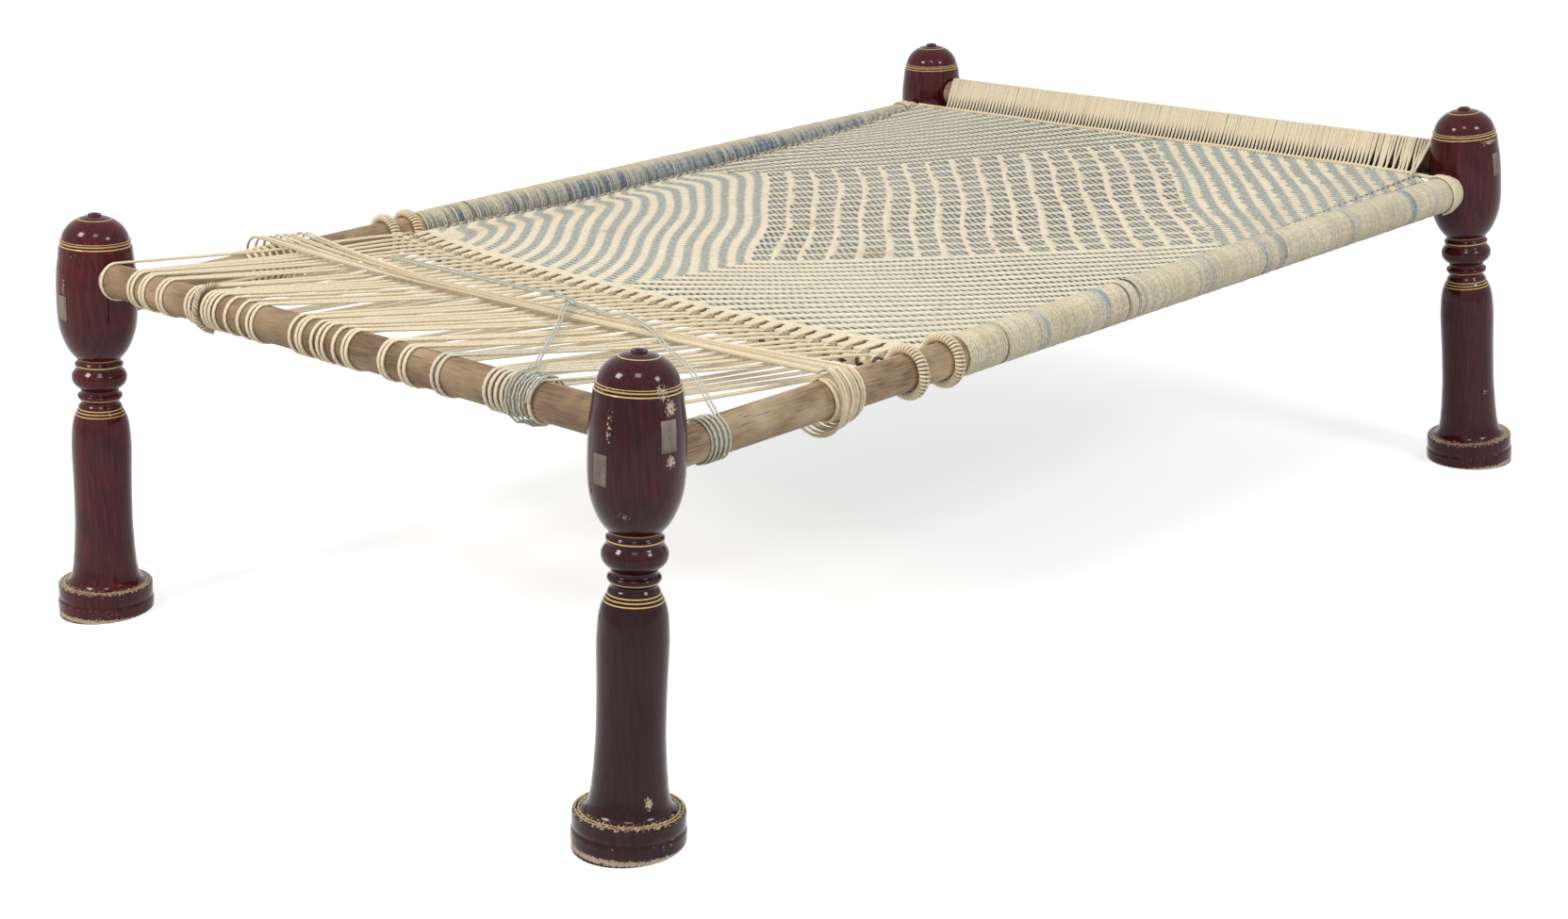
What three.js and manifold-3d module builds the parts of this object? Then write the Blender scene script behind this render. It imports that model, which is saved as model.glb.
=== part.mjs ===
// Charpai: a cord bed on four turned legs.
// X runs along the bed from the foot end to the head end, Y across it from the near side to the far side,
// and Z up from the floor. Lengths are in millimetres.

import * as THREE from 'three';
import { mergeVertices } from 'three/addons/utils/BufferGeometryUtils.js';
import Module from 'manifold-3d';

const wasm = await Module();
wasm.setup();

// Frame: distances between the axes of the four rails, which meet inside the legs
const endRailSpacing = 1773;
const sideRailSpacing = 1112.5;
const railRadius = 23.25;
const tenonWidth = 21;
const tenonHeight = 36;
const tenonRoot = 18;

// Turned legs, from the floor up
const baseHeight = 41;
const shaftHeight = 264;
const beadHeight = 67;
const barrelHeight = 171;
const domeHeight = 35;
const nubHeight = 3;
const baseRadius = 67;
const shaftRadius = 41.3;
const beadRadius = 38.2;
const barrelRadius = 55;
const domeRadius = 46.5;
const nubRadius = 9;
const footAllowance = 9;

// Heights of the rails: the side rails sit above the foot of the barrel, the end rails one tenon higher
const railSeat = 80;
const tenonWeb = 4.5;

// Cord and rope
const cordDiameter = 4.5;
const lashingDiameter = 5;
const borderDiameter = 6.5;
const ropeDiameter = 10;
const ringThickness = 12;
const ringWidth = 16;

// Woven bed and what ties it to the foot rail. Offsets and setbacks are measured from the foot rail's axis.
const nearWrapOffset = 556.5;
const farWrapOffset = 577.5;
const bedThickness = 9;
const bedSag = 9;
const headBorderDrop = 12.5;
const headLoopLength = 88;
const footBorderSetback = 488;
const footBandWidth = 45;
const footBandThickness = 5;
const footLevelRise = 3;
const nearRingBorderOffset = 514;
const farRingBorderOffset = 544;
const nearRingRopeOffset = 447;
const farRingRopeOffset = 501;
const headWrapBareEnd = 16;
const headWrapTuck = 8;

// Turns and ties. Offsets are measured from the foot rail's axis.
const lashingLoops = 24;
const slitCount = 37;
const slitWidth = 8;
const slitSlant = 5;
const nearBandTurns = 7.5;
const nearBandOffset = 318;
const nearBandPitch = 6.2;
const farBandTurns = 9.5;
const farBandOffset = 289;
const farBandPitch = 11.5;
const braceTurns = 3.5;
const braceOffset = 105;
const bracePitch = 7.5;
const hankRuns = 8;
const hankWaistPitch = 5.1;
const hankBow = 30;
const tieDiameter = 5;

// Clearances and overruns
const fitGap = 0.3;
const cordGap = 0.5;
const overrun = 10;

// Facets and steps
const legFacets = 20;
const railFacets = 20;
const domeSteps = 4;
const cordSides = 5;
const ropeSides = 8;
const borderSides = 6;
const turnSteps = 12;
const ropeSteps = 16;
const borderSteps = 12;
const bedStepsAlong = 18;
const bedStepsAcross = 12;
const hankSteps = 10;

const barrelFoot = baseHeight + shaftHeight + beadHeight;
const sideRailHeight = barrelFoot + railSeat;
const endRailHeight = sideRailHeight + tenonHeight + tenonWeb;
const halfLength = endRailSpacing / 2;
const halfWidth = sideRailSpacing / 2;
const wrapRadius = railRadius + fitGap + cordDiameter;
const ropeRadius = ropeDiameter / 2;
const borderRadius = borderDiameter / 2;
const cordRadius = cordDiameter / 2;
const lashingRadius = lashingDiameter / 2;
const fullTurn = 2 * Math.PI;
const halfTurn = Math.PI;
const quarterTurn = Math.PI / 2;

// Finishes
const lacquer = new THREE.MeshStandardMaterial({ color: 0x4a1216, roughness: 0.16, metalness: 0 });
const railWood = new THREE.MeshStandardMaterial({ color: 0x836652, roughness: 0.75, metalness: 0 });
const creamCord = new THREE.MeshStandardMaterial({ color: 0xdccdaa, roughness: 0.9, metalness: 0 });
const mixedCord = new THREE.MeshStandardMaterial({ color: 0xa5a794, roughness: 0.9, metalness: 0 });
const blueCord = new THREE.MeshStandardMaterial({ color: 0x7f8c8c, roughness: 0.9, metalness: 0 });

const charpai = new THREE.Group();

function addPiece(name, geometry, material, origin = new THREE.Vector3()) {
  geometry.translate(-origin.x, -origin.y, -origin.z);
  geometry.computeVertexNormals();
  const mesh = new THREE.Mesh(geometry, material);
  mesh.name = name;
  mesh.position.copy(origin);
  charpai.add(mesh);
}

// Solids for joining and cutting: vertices merged, faces of no area dropped

function toSolid(geometry) {
  const bare = geometry.clone();
  bare.deleteAttribute('normal');
  bare.deleteAttribute('uv');
  const merged = mergeVertices(bare);
  const index = merged.index.array;
  const faces = [];
  for (let i = 0; i < index.length; i += 3) {
    const [a, b, c] = [index[i], index[i + 1], index[i + 2]];
    if (a !== b && b !== c && c !== a) faces.push(a, b, c);
  }
  const vertProperties = new Float32Array(merged.attributes.position.array);
  const triVerts = new Uint32Array(faces);
  return new wasm.Manifold(new wasm.Mesh({ numProp: 3, vertProperties, triVerts }));
}

function toGeometry(solid) {
  const mesh = solid.getMesh();
  const geometry = new THREE.BufferGeometry();
  geometry.setAttribute('position', new THREE.BufferAttribute(mesh.vertProperties, 3));
  geometry.setIndex(new THREE.BufferAttribute(mesh.triVerts, 1));
  return geometry;
}

function closedGeometry(points, faces) {
  const geometry = new THREE.BufferGeometry();
  geometry.setAttribute('position', new THREE.Float32BufferAttribute(points, 3));
  geometry.setIndex(faces);
  return geometry;
}

// Legs: each section's outline is [share of the section's height, share of its radius]

const baseOutlineShares = [[0, 0.985], [0.42, 1], [0.5, 0.965], [0.6, 0.985], [1, 0.965]];
const shaftOutlineShares = [
  [0.004, 1.36], [0.045, 1.15], [0.16, 1.045], [0.42, 0.975], [0.78, 1.005], [0.88, 0.97], [0.95, 0.87],
  [0.996, 0.73],
];
const beadOutlineShares = [
  [0.08, 0.69], [0.16, 0.79], [0.24, 0.8], [0.3, 0.69], [0.4, 0.78], [0.5, 0.95], [0.62, 1], [0.74, 0.93],
  [0.82, 0.82], [0.9, 0.87], [0.99, 0.79],
];
const barrelOutlineShares = [
  [0.04, 0.67], [0.14, 0.84], [0.28, 0.955], [0.48, 1], [0.66, 0.995], [0.82, 0.96], [0.955, 0.905],
  [0.965, 0.875], [0.995, 0.87],
];
// growth moves the outline outwards; the outline starts below the floor, where the foot is cut level
function legGeometry(growth = 0) {
  const outline = [new THREE.Vector2(0, -footAllowance)];
  const addSection = (shares, bottom, height, radius) => {
    for (const [up, out] of shares) {
      outline.push(new THREE.Vector2(out * radius + growth, bottom + up * height));
    }
  };
  outline.push(new THREE.Vector2(baseOutlineShares[0][1] * baseRadius + growth, -footAllowance));
  addSection(baseOutlineShares, 0, baseHeight, baseRadius);
  addSection(shaftOutlineShares, baseHeight, shaftHeight, shaftRadius);
  addSection(beadOutlineShares, baseHeight + shaftHeight, beadHeight, beadRadius);
  addSection(barrelOutlineShares, barrelFoot, barrelHeight, barrelRadius);
  const domeFoot = barrelFoot + barrelHeight;
  const domeEnd = Math.acos(nubRadius / domeRadius);
  for (let i = 0; i <= domeSteps; i++) {
    const angle = (domeEnd * i) / domeSteps;
    const out = domeRadius * Math.cos(angle) + growth;
    outline.push(new THREE.Vector2(out, domeFoot + domeHeight * Math.sin(angle)));
  }
  const nubFoot = domeFoot + domeHeight * Math.sin(domeEnd);
  outline.push(new THREE.Vector2(nubRadius / 2 + growth, nubFoot + nubHeight));
  outline.push(new THREE.Vector2(0, nubFoot + nubHeight));
  return new THREE.LatheGeometry(outline, legFacets).rotateX(quarterTurn);
}

// leanShares: how far the leg's top leans along X and Y for each unit of height
const legs = [
  { name: 'leg_foot_near', alongSide: -1, acrossSide: -1, leanShares: [0.081, -0.013] },
  { name: 'leg_foot_far', alongSide: -1, acrossSide: 1, leanShares: [0.072, -0.039] },
  { name: 'leg_head_near', alongSide: 1, acrossSide: -1, leanShares: [-0.062, 0.043] },
  { name: 'leg_head_far', alongSide: 1, acrossSide: 1, leanShares: [0.005, -0.005] },
];

// A leg leans about the point where it crosses the side rail's axis
function placeLeg(geometry, leg) {
  const axis = new THREE.Vector3(leg.leanShares[0], leg.leanShares[1], 1).normalize();
  const turn = new THREE.Quaternion().setFromUnitVectors(new THREE.Vector3(0, 0, 1), axis);
  geometry.translate(0, 0, -sideRailHeight);
  geometry.applyQuaternion(turn);
  return geometry.translate(leg.alongSide * halfLength, leg.acrossSide * halfWidth, sideRailHeight);
}

// Rails: a round pole between two legs with a squared tenon through each leg

const rails = [
  { name: 'side_rail_near', along: true, side: -1 },
  { name: 'side_rail_far', along: true, side: 1 },
  { name: 'foot_rail', along: false, side: -1 },
  { name: 'head_rail', along: false, side: 1 },
];

function railCentre(rail) {
  if (rail.along) return new THREE.Vector3(0, rail.side * halfWidth, sideRailHeight);
  return new THREE.Vector3(rail.side * halfLength, 0, endRailHeight);
}

function poleGeometry(rail) {
  const length = rail.along ? endRailSpacing : sideRailSpacing;
  const pole = new THREE.CylinderGeometry(railRadius, railRadius, length, railFacets);
  if (rail.along) pole.rotateZ(-quarterTurn);
  const centre = railCentre(rail);
  return pole.translate(centre.x, centre.y, centre.z);
}

function tenonGeometry(rail, end, growth = 0) {
  const reach = 2 * barrelRadius + overrun + tenonRoot;
  const width = tenonWidth + 2 * growth;
  const height = tenonHeight + 2 * growth;
  const half = rail.along ? halfLength : halfWidth;
  const middle = end * (half + (overrun - tenonRoot) / 2);
  const size = rail.along ? [reach, width, height] : [width, reach, height];
  const centre = railCentre(rail);
  const offset = rail.along ? [middle, 0] : [0, middle];
  return new THREE.BoxGeometry(...size).translate(centre.x + offset[0], centre.y + offset[1], centre.z);
}

const legBodies = legs.map((leg) => toSolid(placeLeg(legGeometry(), leg)));
const legEnvelopes = legs.map((leg) => toSolid(placeLeg(legGeometry(fitGap), leg)));
const cordEnvelopes = legs.map((leg) => toSolid(placeLeg(legGeometry(2 * cordGap), leg)));

const mortises = [];
for (const rail of rails) {
  for (const end of [-1, 1]) mortises.push(toSolid(tenonGeometry(rail, end, fitGap)));
}
const floorBox = new THREE.BoxGeometry(2 * endRailSpacing, 2 * sideRailSpacing, barrelHeight);
const floorBlock = toSolid(floorBox.translate(0, 0, -barrelHeight / 2));

legs.forEach((leg, i) => {
  let body = legBodies[i].subtract(floorBlock);
  for (const mortise of mortises) body = body.subtract(mortise);
  const origin = new THREE.Vector3(leg.alongSide * halfLength, leg.acrossSide * halfWidth, 0);
  addPiece(leg.name, toGeometry(body), lacquer, origin);
});

for (const rail of rails) {
  const pole = toSolid(poleGeometry(rail));
  const tenonSpace = legBodies.reduce((space, legBody) => space.add(legBody), pole);
  let body = legEnvelopes.reduce((rest, envelope) => rest.subtract(envelope), pole);
  for (const end of [-1, 1]) {
    const tenon = toSolid(tenonGeometry(rail, end));
    body = body.add(tenon.intersect(tenonSpace));
  }
  addPiece(rail.name, toGeometry(body), railWood, railCentre(rail));
}

// Cords: a many-sided section carried along points. Each ring of points is turned the least that keeps it
// square to the path, and flat caps close the ends.

function cordGeometry(path, radius, sides = cordSides) {
  const points = [];
  const faces = [];
  const tangents = path.map((point, i) => {
    const before = path[Math.max(i - 1, 0)];
    const after = path[Math.min(i + 1, path.length - 1)];
    return after.clone().sub(before).normalize();
  });
  const upright = Math.abs(tangents[0].z) > Math.SQRT1_2;
  const normal = new THREE.Vector3(upright ? 1 : 0, 0, upright ? 0 : 1);
  path.forEach((point, i) => {
    if (i > 0) {
      const turn = new THREE.Quaternion().setFromUnitVectors(tangents[i - 1], tangents[i]);
      normal.applyQuaternion(turn);
    }
    normal.addScaledVector(tangents[i], -normal.dot(tangents[i])).normalize();
    const across = tangents[i].clone().cross(normal);
    for (let j = 0; j < sides; j++) {
      const angle = (fullTurn * j) / sides;
      const corner = point.clone();
      corner.addScaledVector(normal, radius * Math.cos(angle));
      corner.addScaledVector(across, radius * Math.sin(angle));
      points.push(corner.x, corner.y, corner.z);
    }
  });
  for (let i = 0; i < path.length - 1; i++) {
    for (let j = 0; j < sides; j++) {
      const a = i * sides + j;
      const b = i * sides + ((j + 1) % sides);
      faces.push(a, b, b + sides, a, b + sides, a + sides);
    }
  }
  const last = (path.length - 1) * sides;
  for (let j = 1; j < sides - 1; j++) {
    faces.push(0, j + 1, j);
    faces.push(last, last + j, last + j + 1);
  }
  return closedGeometry(points, faces);
}

// Least gap of a wound cord to itself: points a good part of a turn apart along the cord, less the diameter
const gapSamples = 4;

function printLeastGap(name, path, radius, pointsPerTurn) {
  const points = [];
  for (let i = 0; i < path.length - 1; i++) {
    for (let k = 0; k < gapSamples; k++) points.push(path[i].clone().lerp(path[i + 1], k / gapSamples));
  }
  const apart = Math.floor((pointsPerTurn * gapSamples) / 3);
  let least = Infinity;
  for (let i = 0; i < points.length; i++) {
    for (let j = i + apart; j < points.length; j++) least = Math.min(least, points[i].distanceTo(points[j]));
  }
  console.log(`${name}: least gap to itself ${(least - 2 * radius).toFixed(2)} mm`);
}

// The centre line of a cord wound on a side rail, far enough out that the flats between steps clear the rail.
// It starts on top of the rail, goes down its outer side, and runs straight for one diameter at both ends.
const windingRadius = (railRadius + fitGap + lashingRadius) / Math.cos(halfTurn / turnSteps);

function windingPath(centre, turns, pitch, turnSense) {
  const path = [];
  const count = Math.round(turns * turnSteps);
  for (let i = -1; i <= count + 1; i++) {
    const onRail = Math.min(Math.max(i, 0), count);
    const straight = (i - onRail) * turnSense * lashingDiameter;
    const angle = quarterTurn + (turnSense * fullTurn * onRail) / turnSteps;
    path.push(new THREE.Vector3(
      centre.x + (pitch * onRail) / turnSteps - (pitch * turns) / 2,
      centre.y + windingRadius * Math.cos(angle) - straight * Math.sin(angle),
      centre.z + windingRadius * Math.sin(angle) + straight * Math.cos(angle),
    ));
  }
  return path;
}

// Adds a straight stretch, one diameter long, at both ends of a path
function withStraightEnds(path, diameter) {
  const extend = (end, inner) => end.clone().add(end.clone().sub(inner).setLength(diameter));
  return [extend(path[0], path[1]), ...path, extend(path.at(-1), path.at(-2))];
}

// Dense turns of bed cord on the side rails: a sleeve one cord thick, fitted to the legs' barrels

function fitToLegs(solid) {
  return cordEnvelopes.reduce((rest, envelope) => rest.subtract(envelope), solid);
}

function sleeveGeometry(inner, outer, length) {
  const outline = [[inner, 0], [outer, 0], [outer, length], [inner, length], [inner, 0]];
  const points = outline.map(([radius, up]) => new THREE.Vector2(radius, up));
  return new THREE.LatheGeometry(points, railFacets).rotateZ(-quarterTurn);
}

const sideWraps = [
  { name: 'side_wrap_near', side: -1, start: nearWrapOffset - halfLength },
  { name: 'side_wrap_far', side: 1, start: farWrapOffset - halfLength },
];
for (const { name, side, start } of sideWraps) {
  const origin = new THREE.Vector3(start, side * halfWidth, sideRailHeight);
  const sleeve = sleeveGeometry(railRadius + fitGap, wrapRadius, halfLength - start);
  const body = fitToLegs(toSolid(sleeve.translate(origin.x, origin.y, origin.z)));
  addPiece(name, toGeometry(body), mixedCord, origin);
}

// Loops of cord round the head rail and the head border, seen from the side as a drop shape

const headBorderX = halfLength - headLoopLength;
const headBorderZ = endRailHeight - headBorderDrop;

// Outline of a loop: the round of the rail, and tangents that meet round the border cord
function headLoopOutline(railR, borderR) {
  const path = new THREE.Path();
  const reach = Math.hypot(headLoopLength, headBorderDrop);
  const tilt = Math.atan2(headBorderDrop, headLoopLength);
  const open = Math.acos((railR - borderR) / reach);
  const towards = halfTurn + tilt;
  path.absarc(0, 0, railR, towards + open, towards - open + fullTurn, false);
  path.absarc(-headLoopLength, -headBorderDrop, borderR, towards - open, towards + open, false);
  return path;
}

const headLoopRadius = borderRadius + fitGap + cordDiameter;
const headOuter = headLoopOutline(wrapRadius, headLoopRadius);
const headInner = headLoopOutline(railRadius + fitGap, borderRadius + fitGap);
const loopDivisions = 8;
const headLoopShape = new THREE.Shape(headOuter.getPoints(loopDivisions));
headLoopShape.holes.push(new THREE.Path(headInner.getPoints(loopDivisions)));
const headWrapFarEnd = halfWidth - barrelRadius + headWrapTuck;
const headWrapLength = headWrapFarEnd + halfWidth - barrelRadius - headWrapBareEnd;
const headLoops = new THREE.ExtrudeGeometry(headLoopShape, { depth: headWrapLength, bevelEnabled: false });
headLoops.rotateX(quarterTurn);
headLoops.translate(halfLength, headWrapFarEnd, endRailHeight);
const headWrap = toGeometry(fitToLegs(toSolid(headLoops)));
addPiece('head_wrap', headWrap, creamCord, new THREE.Vector3(halfLength, 0, endRailHeight));

// Foot border and foot rope: straight across most of the bed, swept towards their rings at both sides

const ropeLevel = sideRailHeight + footLevelRise;
const ropeEnd = halfWidth - railRadius - fitGap - ringThickness - cordGap;
const sweepPower = 3;

function sweptX(across, middle, farEnd, nearEnd) {
  const end = across > 0 ? farEnd : nearEnd;
  return middle + (end - middle) * Math.abs(across / ropeEnd) ** sweepPower;
}

const borderX = (across) => sweptX(
  across, footBorderSetback - halfLength, farRingBorderOffset - halfLength, nearRingBorderOffset - halfLength,
);
const ropeX = (across) => sweptX(
  across,
  footBorderSetback - footBandWidth - halfLength,
  farRingRopeOffset - halfLength,
  nearRingRopeOffset - halfLength,
);

function acrossPath(placeX) {
  const path = [];
  for (let i = 0; i <= ropeSteps; i++) {
    const across = ropeEnd * (1 - (2 * i) / ropeSteps);
    path.push(new THREE.Vector3(placeX(across), across, ropeLevel));
  }
  return path;
}

addPiece('foot_border', cordGeometry(acrossPath(borderX), borderRadius, borderSides), creamCord);
addPiece('foot_rope', cordGeometry(acrossPath(ropeX), ropeRadius, ropeSides), creamCord);

// Whipped rings of rope round the side rails, each beside the end of its rope

const rings = [
  { name: 'ring_border_near', side: -1, x: nearRingBorderOffset - halfLength },
  { name: 'ring_border_far', side: 1, x: farRingBorderOffset - halfLength },
  { name: 'ring_rope_near', side: -1, x: nearRingRopeOffset - halfLength },
  { name: 'ring_rope_far', side: 1, x: farRingRopeOffset - halfLength },
];
const ringSides = 8;

for (const ring of rings) {
  const outline = [];
  const middle = railRadius + fitGap + ringThickness / 2;
  for (let i = 0; i <= ringSides; i++) {
    const angle = (fullTurn * i) / ringSides;
    const out = middle + (ringThickness / 2) * Math.cos(angle);
    outline.push(new THREE.Vector2(out, (ringWidth / 2) * Math.sin(angle)));
  }
  const geometry = new THREE.LatheGeometry(outline, railFacets).rotateZ(-quarterTurn);
  const origin = new THREE.Vector3(ring.x, ring.side * halfWidth, sideRailHeight);
  addPiece(ring.name, geometry.translate(origin.x, origin.y, origin.z), creamCord, origin);
}

// Woven bed: a sheet two cords thick between the foot border, the side borders and the head border.
// Its middle surface runs level from the foot border, rises to the head border and hangs a little between.

const bedHalfWidth = ropeEnd;
const bedHeadX = headBorderX - headLoopRadius - cordGap;
const bedFootOffset = borderRadius + cordGap;

function bedPoint(along, across) {
  const y = bedHalfWidth * (1 - 2 * across);
  const footX = borderX(y) + bedFootOffset;
  const rise = headBorderZ - ropeLevel;
  const hang = bedSag * Math.sin(halfTurn * along) * (1 - (y / halfWidth) ** 2);
  const z = ropeLevel + rise * along ** 2 - hang;
  return new THREE.Vector3(footX + (bedHeadX - footX) * along, y, z);
}

// Closed sheet: a top grid and a bottom grid joined round their edge
function sheetGeometry(surface, thickness, alongSteps, acrossSteps) {
  const points = [];
  const faces = [];
  const row = acrossSteps + 1;
  const layer = row * (alongSteps + 1);
  for (const lift of [thickness / 2, -thickness / 2]) {
    for (let i = 0; i <= alongSteps; i++) {
      for (let j = 0; j <= acrossSteps; j++) {
        const point = surface(i / alongSteps, j / acrossSteps);
        points.push(point.x, point.y, point.z + lift);
      }
    }
  }
  for (let i = 0; i < alongSteps; i++) {
    for (let j = 0; j < acrossSteps; j++) {
      const a = i * row + j;
      faces.push(a, a + 1, a + row + 1, a, a + row + 1, a + row);
      const b = layer + a;
      faces.push(b, b + row + 1, b + 1, b, b + row, b + row + 1);
    }
  }
  const edge = [];
  for (let j = 0; j < acrossSteps; j++) edge.push(j);
  for (let i = 0; i < alongSteps; i++) edge.push(i * row + acrossSteps);
  for (let j = acrossSteps; j > 0; j--) edge.push(alongSteps * row + j);
  for (let i = alongSteps; i > 0; i--) edge.push(i * row);
  edge.forEach((a, k) => {
    const b = edge[(k + 1) % edge.length];
    faces.push(a, a + layer, b + layer, a, b + layer, b);
  });
  return closedGeometry(points, faces);
}

addPiece('woven_bed', sheetGeometry(bedPoint, bedThickness, bedStepsAlong, bedStepsAcross), mixedCord);

// Twined borders: one along each side of the bed and one at its head. The side borders start where the side
// wraps start, past the rings.
function bedEdgePath(side, start) {
  const footX = borderX(side * bedHalfWidth) + bedFootOffset;
  const startShare = (start - footX) / (bedHeadX - footX);
  const path = [];
  for (let i = 0; i <= borderSteps; i++) {
    const edge = bedPoint(startShare + ((1 - startShare) * i) / borderSteps, side > 0 ? 0 : 1);
    edge.y += side * (borderRadius + cordGap);
    path.push(edge);
  }
  return path;
}

const sideBorders = [
  { name: 'side_border_near', side: -1, start: nearWrapOffset - halfLength },
  { name: 'side_border_far', side: 1, start: farWrapOffset - halfLength },
];
for (const { name, side, start } of sideBorders) {
  addPiece(name, cordGeometry(bedEdgePath(side, start), borderRadius, borderSides), mixedCord);
}

const headBorderPath = [1, 0, -1].map((share) => (
  new THREE.Vector3(headBorderX, share * (bedHalfWidth - headWrapBareEnd), headBorderZ)
));
addPiece('head_border', cordGeometry(headBorderPath, borderRadius - cordGap, borderSides), creamCord);

// Foot band: knotted cord pairs between foot border and foot rope, with a slit between each two pairs

const ropeTurnRadius = (ropeRadius + fitGap + lashingRadius) / Math.cos(quarterTurn / 4);
const railTurnRadius = (railRadius + fitGap + lashingRadius) / Math.cos(quarterTurn / 4);
const bandFootGap = ropeTurnRadius + lashingRadius + cordGap;
const bandHeadGap = borderRadius + cordGap;
const bandEnd = bedHalfWidth - ringThickness;
const slitCornerShares = [[0.22, -1], [0.78, -1], [0.78, 1], [0.22, 1]];

function bandPoint(across, share) {
  const foot = ropeX(across) + bandFootGap;
  const head = borderX(across) - bandHeadGap;
  return new THREE.Vector2(foot + (head - foot) * share, across);
}

const bandShape = new THREE.Shape();
const bandOutline = [];
for (let i = 0; i <= ropeSteps; i++) bandOutline.push(bandPoint(bandEnd * (1 - (2 * i) / ropeSteps), 0));
for (let i = 0; i <= ropeSteps; i++) bandOutline.push(bandPoint(bandEnd * ((2 * i) / ropeSteps - 1), 1));
bandShape.setFromPoints(bandOutline);
for (let i = 0; i < slitCount; i++) {
  const across = bandEnd * (1 - (2 * (i + 0.5)) / slitCount);
  const hole = slitCornerShares.map(([share, edge]) => (
    bandPoint(across + Math.sign(0.5 - share) * slitSlant + (edge * slitWidth) / 2, share)
  ));
  bandShape.holes.push(new THREE.Path(hole));
}
const bandGeometry = new THREE.ExtrudeGeometry(bandShape, { depth: footBandThickness, bevelEnabled: false });
bandGeometry.translate(0, 0, ropeLevel - footBandThickness / 2);
addPiece('foot_band', bandGeometry, creamCord);

// Lashing: one cord that goes to and fro between the foot rope and the foot rail, over both and back under.
// The turns on the rail stand in groups; each share is a turn's place from the far end to the near end.
const lashingPlaceShares = [
  0.02, 0.055, 0.085, 0.125, 0.165, 0.22, 0.25, 0.28, 0.31, 0.34, 0.4, 0.43,
  0.46, 0.49, 0.52, 0.61, 0.66, 0.74, 0.79, 0.85, 0.88, 0.91, 0.94, 0.97,
];
const railTurnShares = [-1, -1.5, -2, -2.5, -3];
const ropeTurnShares = [1, 0.5, 0, -0.5, -1];
const lashingSpan = 2 * (halfWidth - barrelRadius - overrun);
const lashingRopeSpan = 2 * (ropeEnd - lashingDiameter - overrun);
const lashingRoute = [];
for (let i = 0; i < lashingLoops; i++) {
  const railY = lashingSpan * (0.5 - lashingPlaceShares[i]);
  for (const share of railTurnShares) {
    const angle = share * quarterTurn;
    lashingRoute.push(new THREE.Vector3(
      -halfLength + railTurnRadius * Math.cos(angle), railY, endRailHeight + railTurnRadius * Math.sin(angle),
    ));
  }
  ropeTurnShares.forEach((share, k) => {
    const angle = share * quarterTurn;
    const place = (i + k / (2 * (ropeTurnShares.length - 1))) / lashingLoops;
    const ropeY = lashingRopeSpan * (0.5 - place);
    lashingRoute.push(new THREE.Vector3(
      ropeX(ropeY) + ropeTurnRadius * Math.cos(angle), ropeY, ropeLevel + ropeTurnRadius * Math.sin(angle),
    ));
  });
}
const lashingPath = withStraightEnds(lashingRoute, lashingDiameter);
addPiece('lashing', cordGeometry(lashingPath, lashingRadius), creamCord);
printLeastGap('lashing', lashingPath, lashingRadius, railTurnShares.length + ropeTurnShares.length);

// Spare cord: a band of turns on each side rail, and the hank that crosses the lashing between them

const nearBandCentre = new THREE.Vector3(nearBandOffset - halfLength, -halfWidth, sideRailHeight);
const farBandCentre = new THREE.Vector3(farBandOffset - halfLength, halfWidth, sideRailHeight);
const bands = [
  { name: 'band_near', path: windingPath(nearBandCentre, nearBandTurns, nearBandPitch, 1) },
  { name: 'band_far', path: windingPath(farBandCentre, farBandTurns, farBandPitch, -1) },
];
for (const band of bands) {
  addPiece(band.name, cordGeometry(band.path, lashingRadius), creamCord);
  printLeastGap(band.name, band.path, lashingRadius, turnSteps);
}

// Height of the top of the lashing's upper runs at a place on the bed
const lashingTopAtRope = ropeLevel + ropeTurnRadius + lashingRadius;
const lashingTopAtRail = endRailHeight + railTurnRadius + lashingRadius;
function lashingTop(x, y) {
  const share = (ropeX(y) - x) / (ropeX(y) + halfLength);
  return lashingTopAtRope + (lashingTopAtRail - lashingTopAtRope) * share;
}

const bandTop = sideRailHeight + windingRadius + lashingRadius;

// One run of the hank: it bows towards the foot rail and is drawn in at the waist.
// Its stations stand closer together towards both ends, where it climbs on to the bands.
function hankPoint(run, station) {
  const along = (1 - Math.cos(halfTurn * station)) / 2;
  const y = halfWidth * (1 - 2 * along);
  const endPitch = along < 0.5 ? farBandPitch : nearBandPitch;
  const pitch = hankWaistPitch + (endPitch - hankWaistPitch) * (2 * along - 1) ** 2;
  const straight = farBandCentre.x + (nearBandCentre.x - farBandCentre.x) * along;
  const middle = straight - hankBow * Math.sin(halfTurn * along);
  const x = middle + pitch * ((hankRuns - 1) / 2 - run);
  const offBed = Math.abs(y) > ropeEnd + overrun;
  const under = offBed ? bandTop : Math.max(bandTop, lashingTop(x - cordDiameter, y));
  return new THREE.Vector3(x, y, under + cordGap + cordRadius);
}

// The hank is one cord that goes to and fro, with a half round bend between each two runs
const hankBendShares = [0.25, 0.5, 0.75];
const hankRoute = [];
for (let run = 0; run < hankRuns; run++) {
  const towardsNear = run % 2 === 0;
  for (let i = 0; i <= hankSteps; i++) {
    const step = towardsNear ? i : hankSteps - i;
    hankRoute.push(hankPoint(run, step / hankSteps));
  }
  if (run === hankRuns - 1) continue;
  const from = hankRoute.at(-1);
  const to = hankPoint(run + 1, towardsNear ? 1 : 0);
  for (const share of hankBendShares) {
    const bend = from.clone().lerp(to, (1 - Math.cos(halfTurn * share)) / 2);
    bend.y += (towardsNear ? -1 : 1) * (from.distanceTo(to) / 2) * Math.sin(halfTurn * share);
    hankRoute.push(bend);
  }
}
const hankPath = withStraightEnds(hankRoute, cordDiameter);
addPiece('cross_hank', cordGeometry(hankPath, cordRadius), creamCord);
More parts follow.
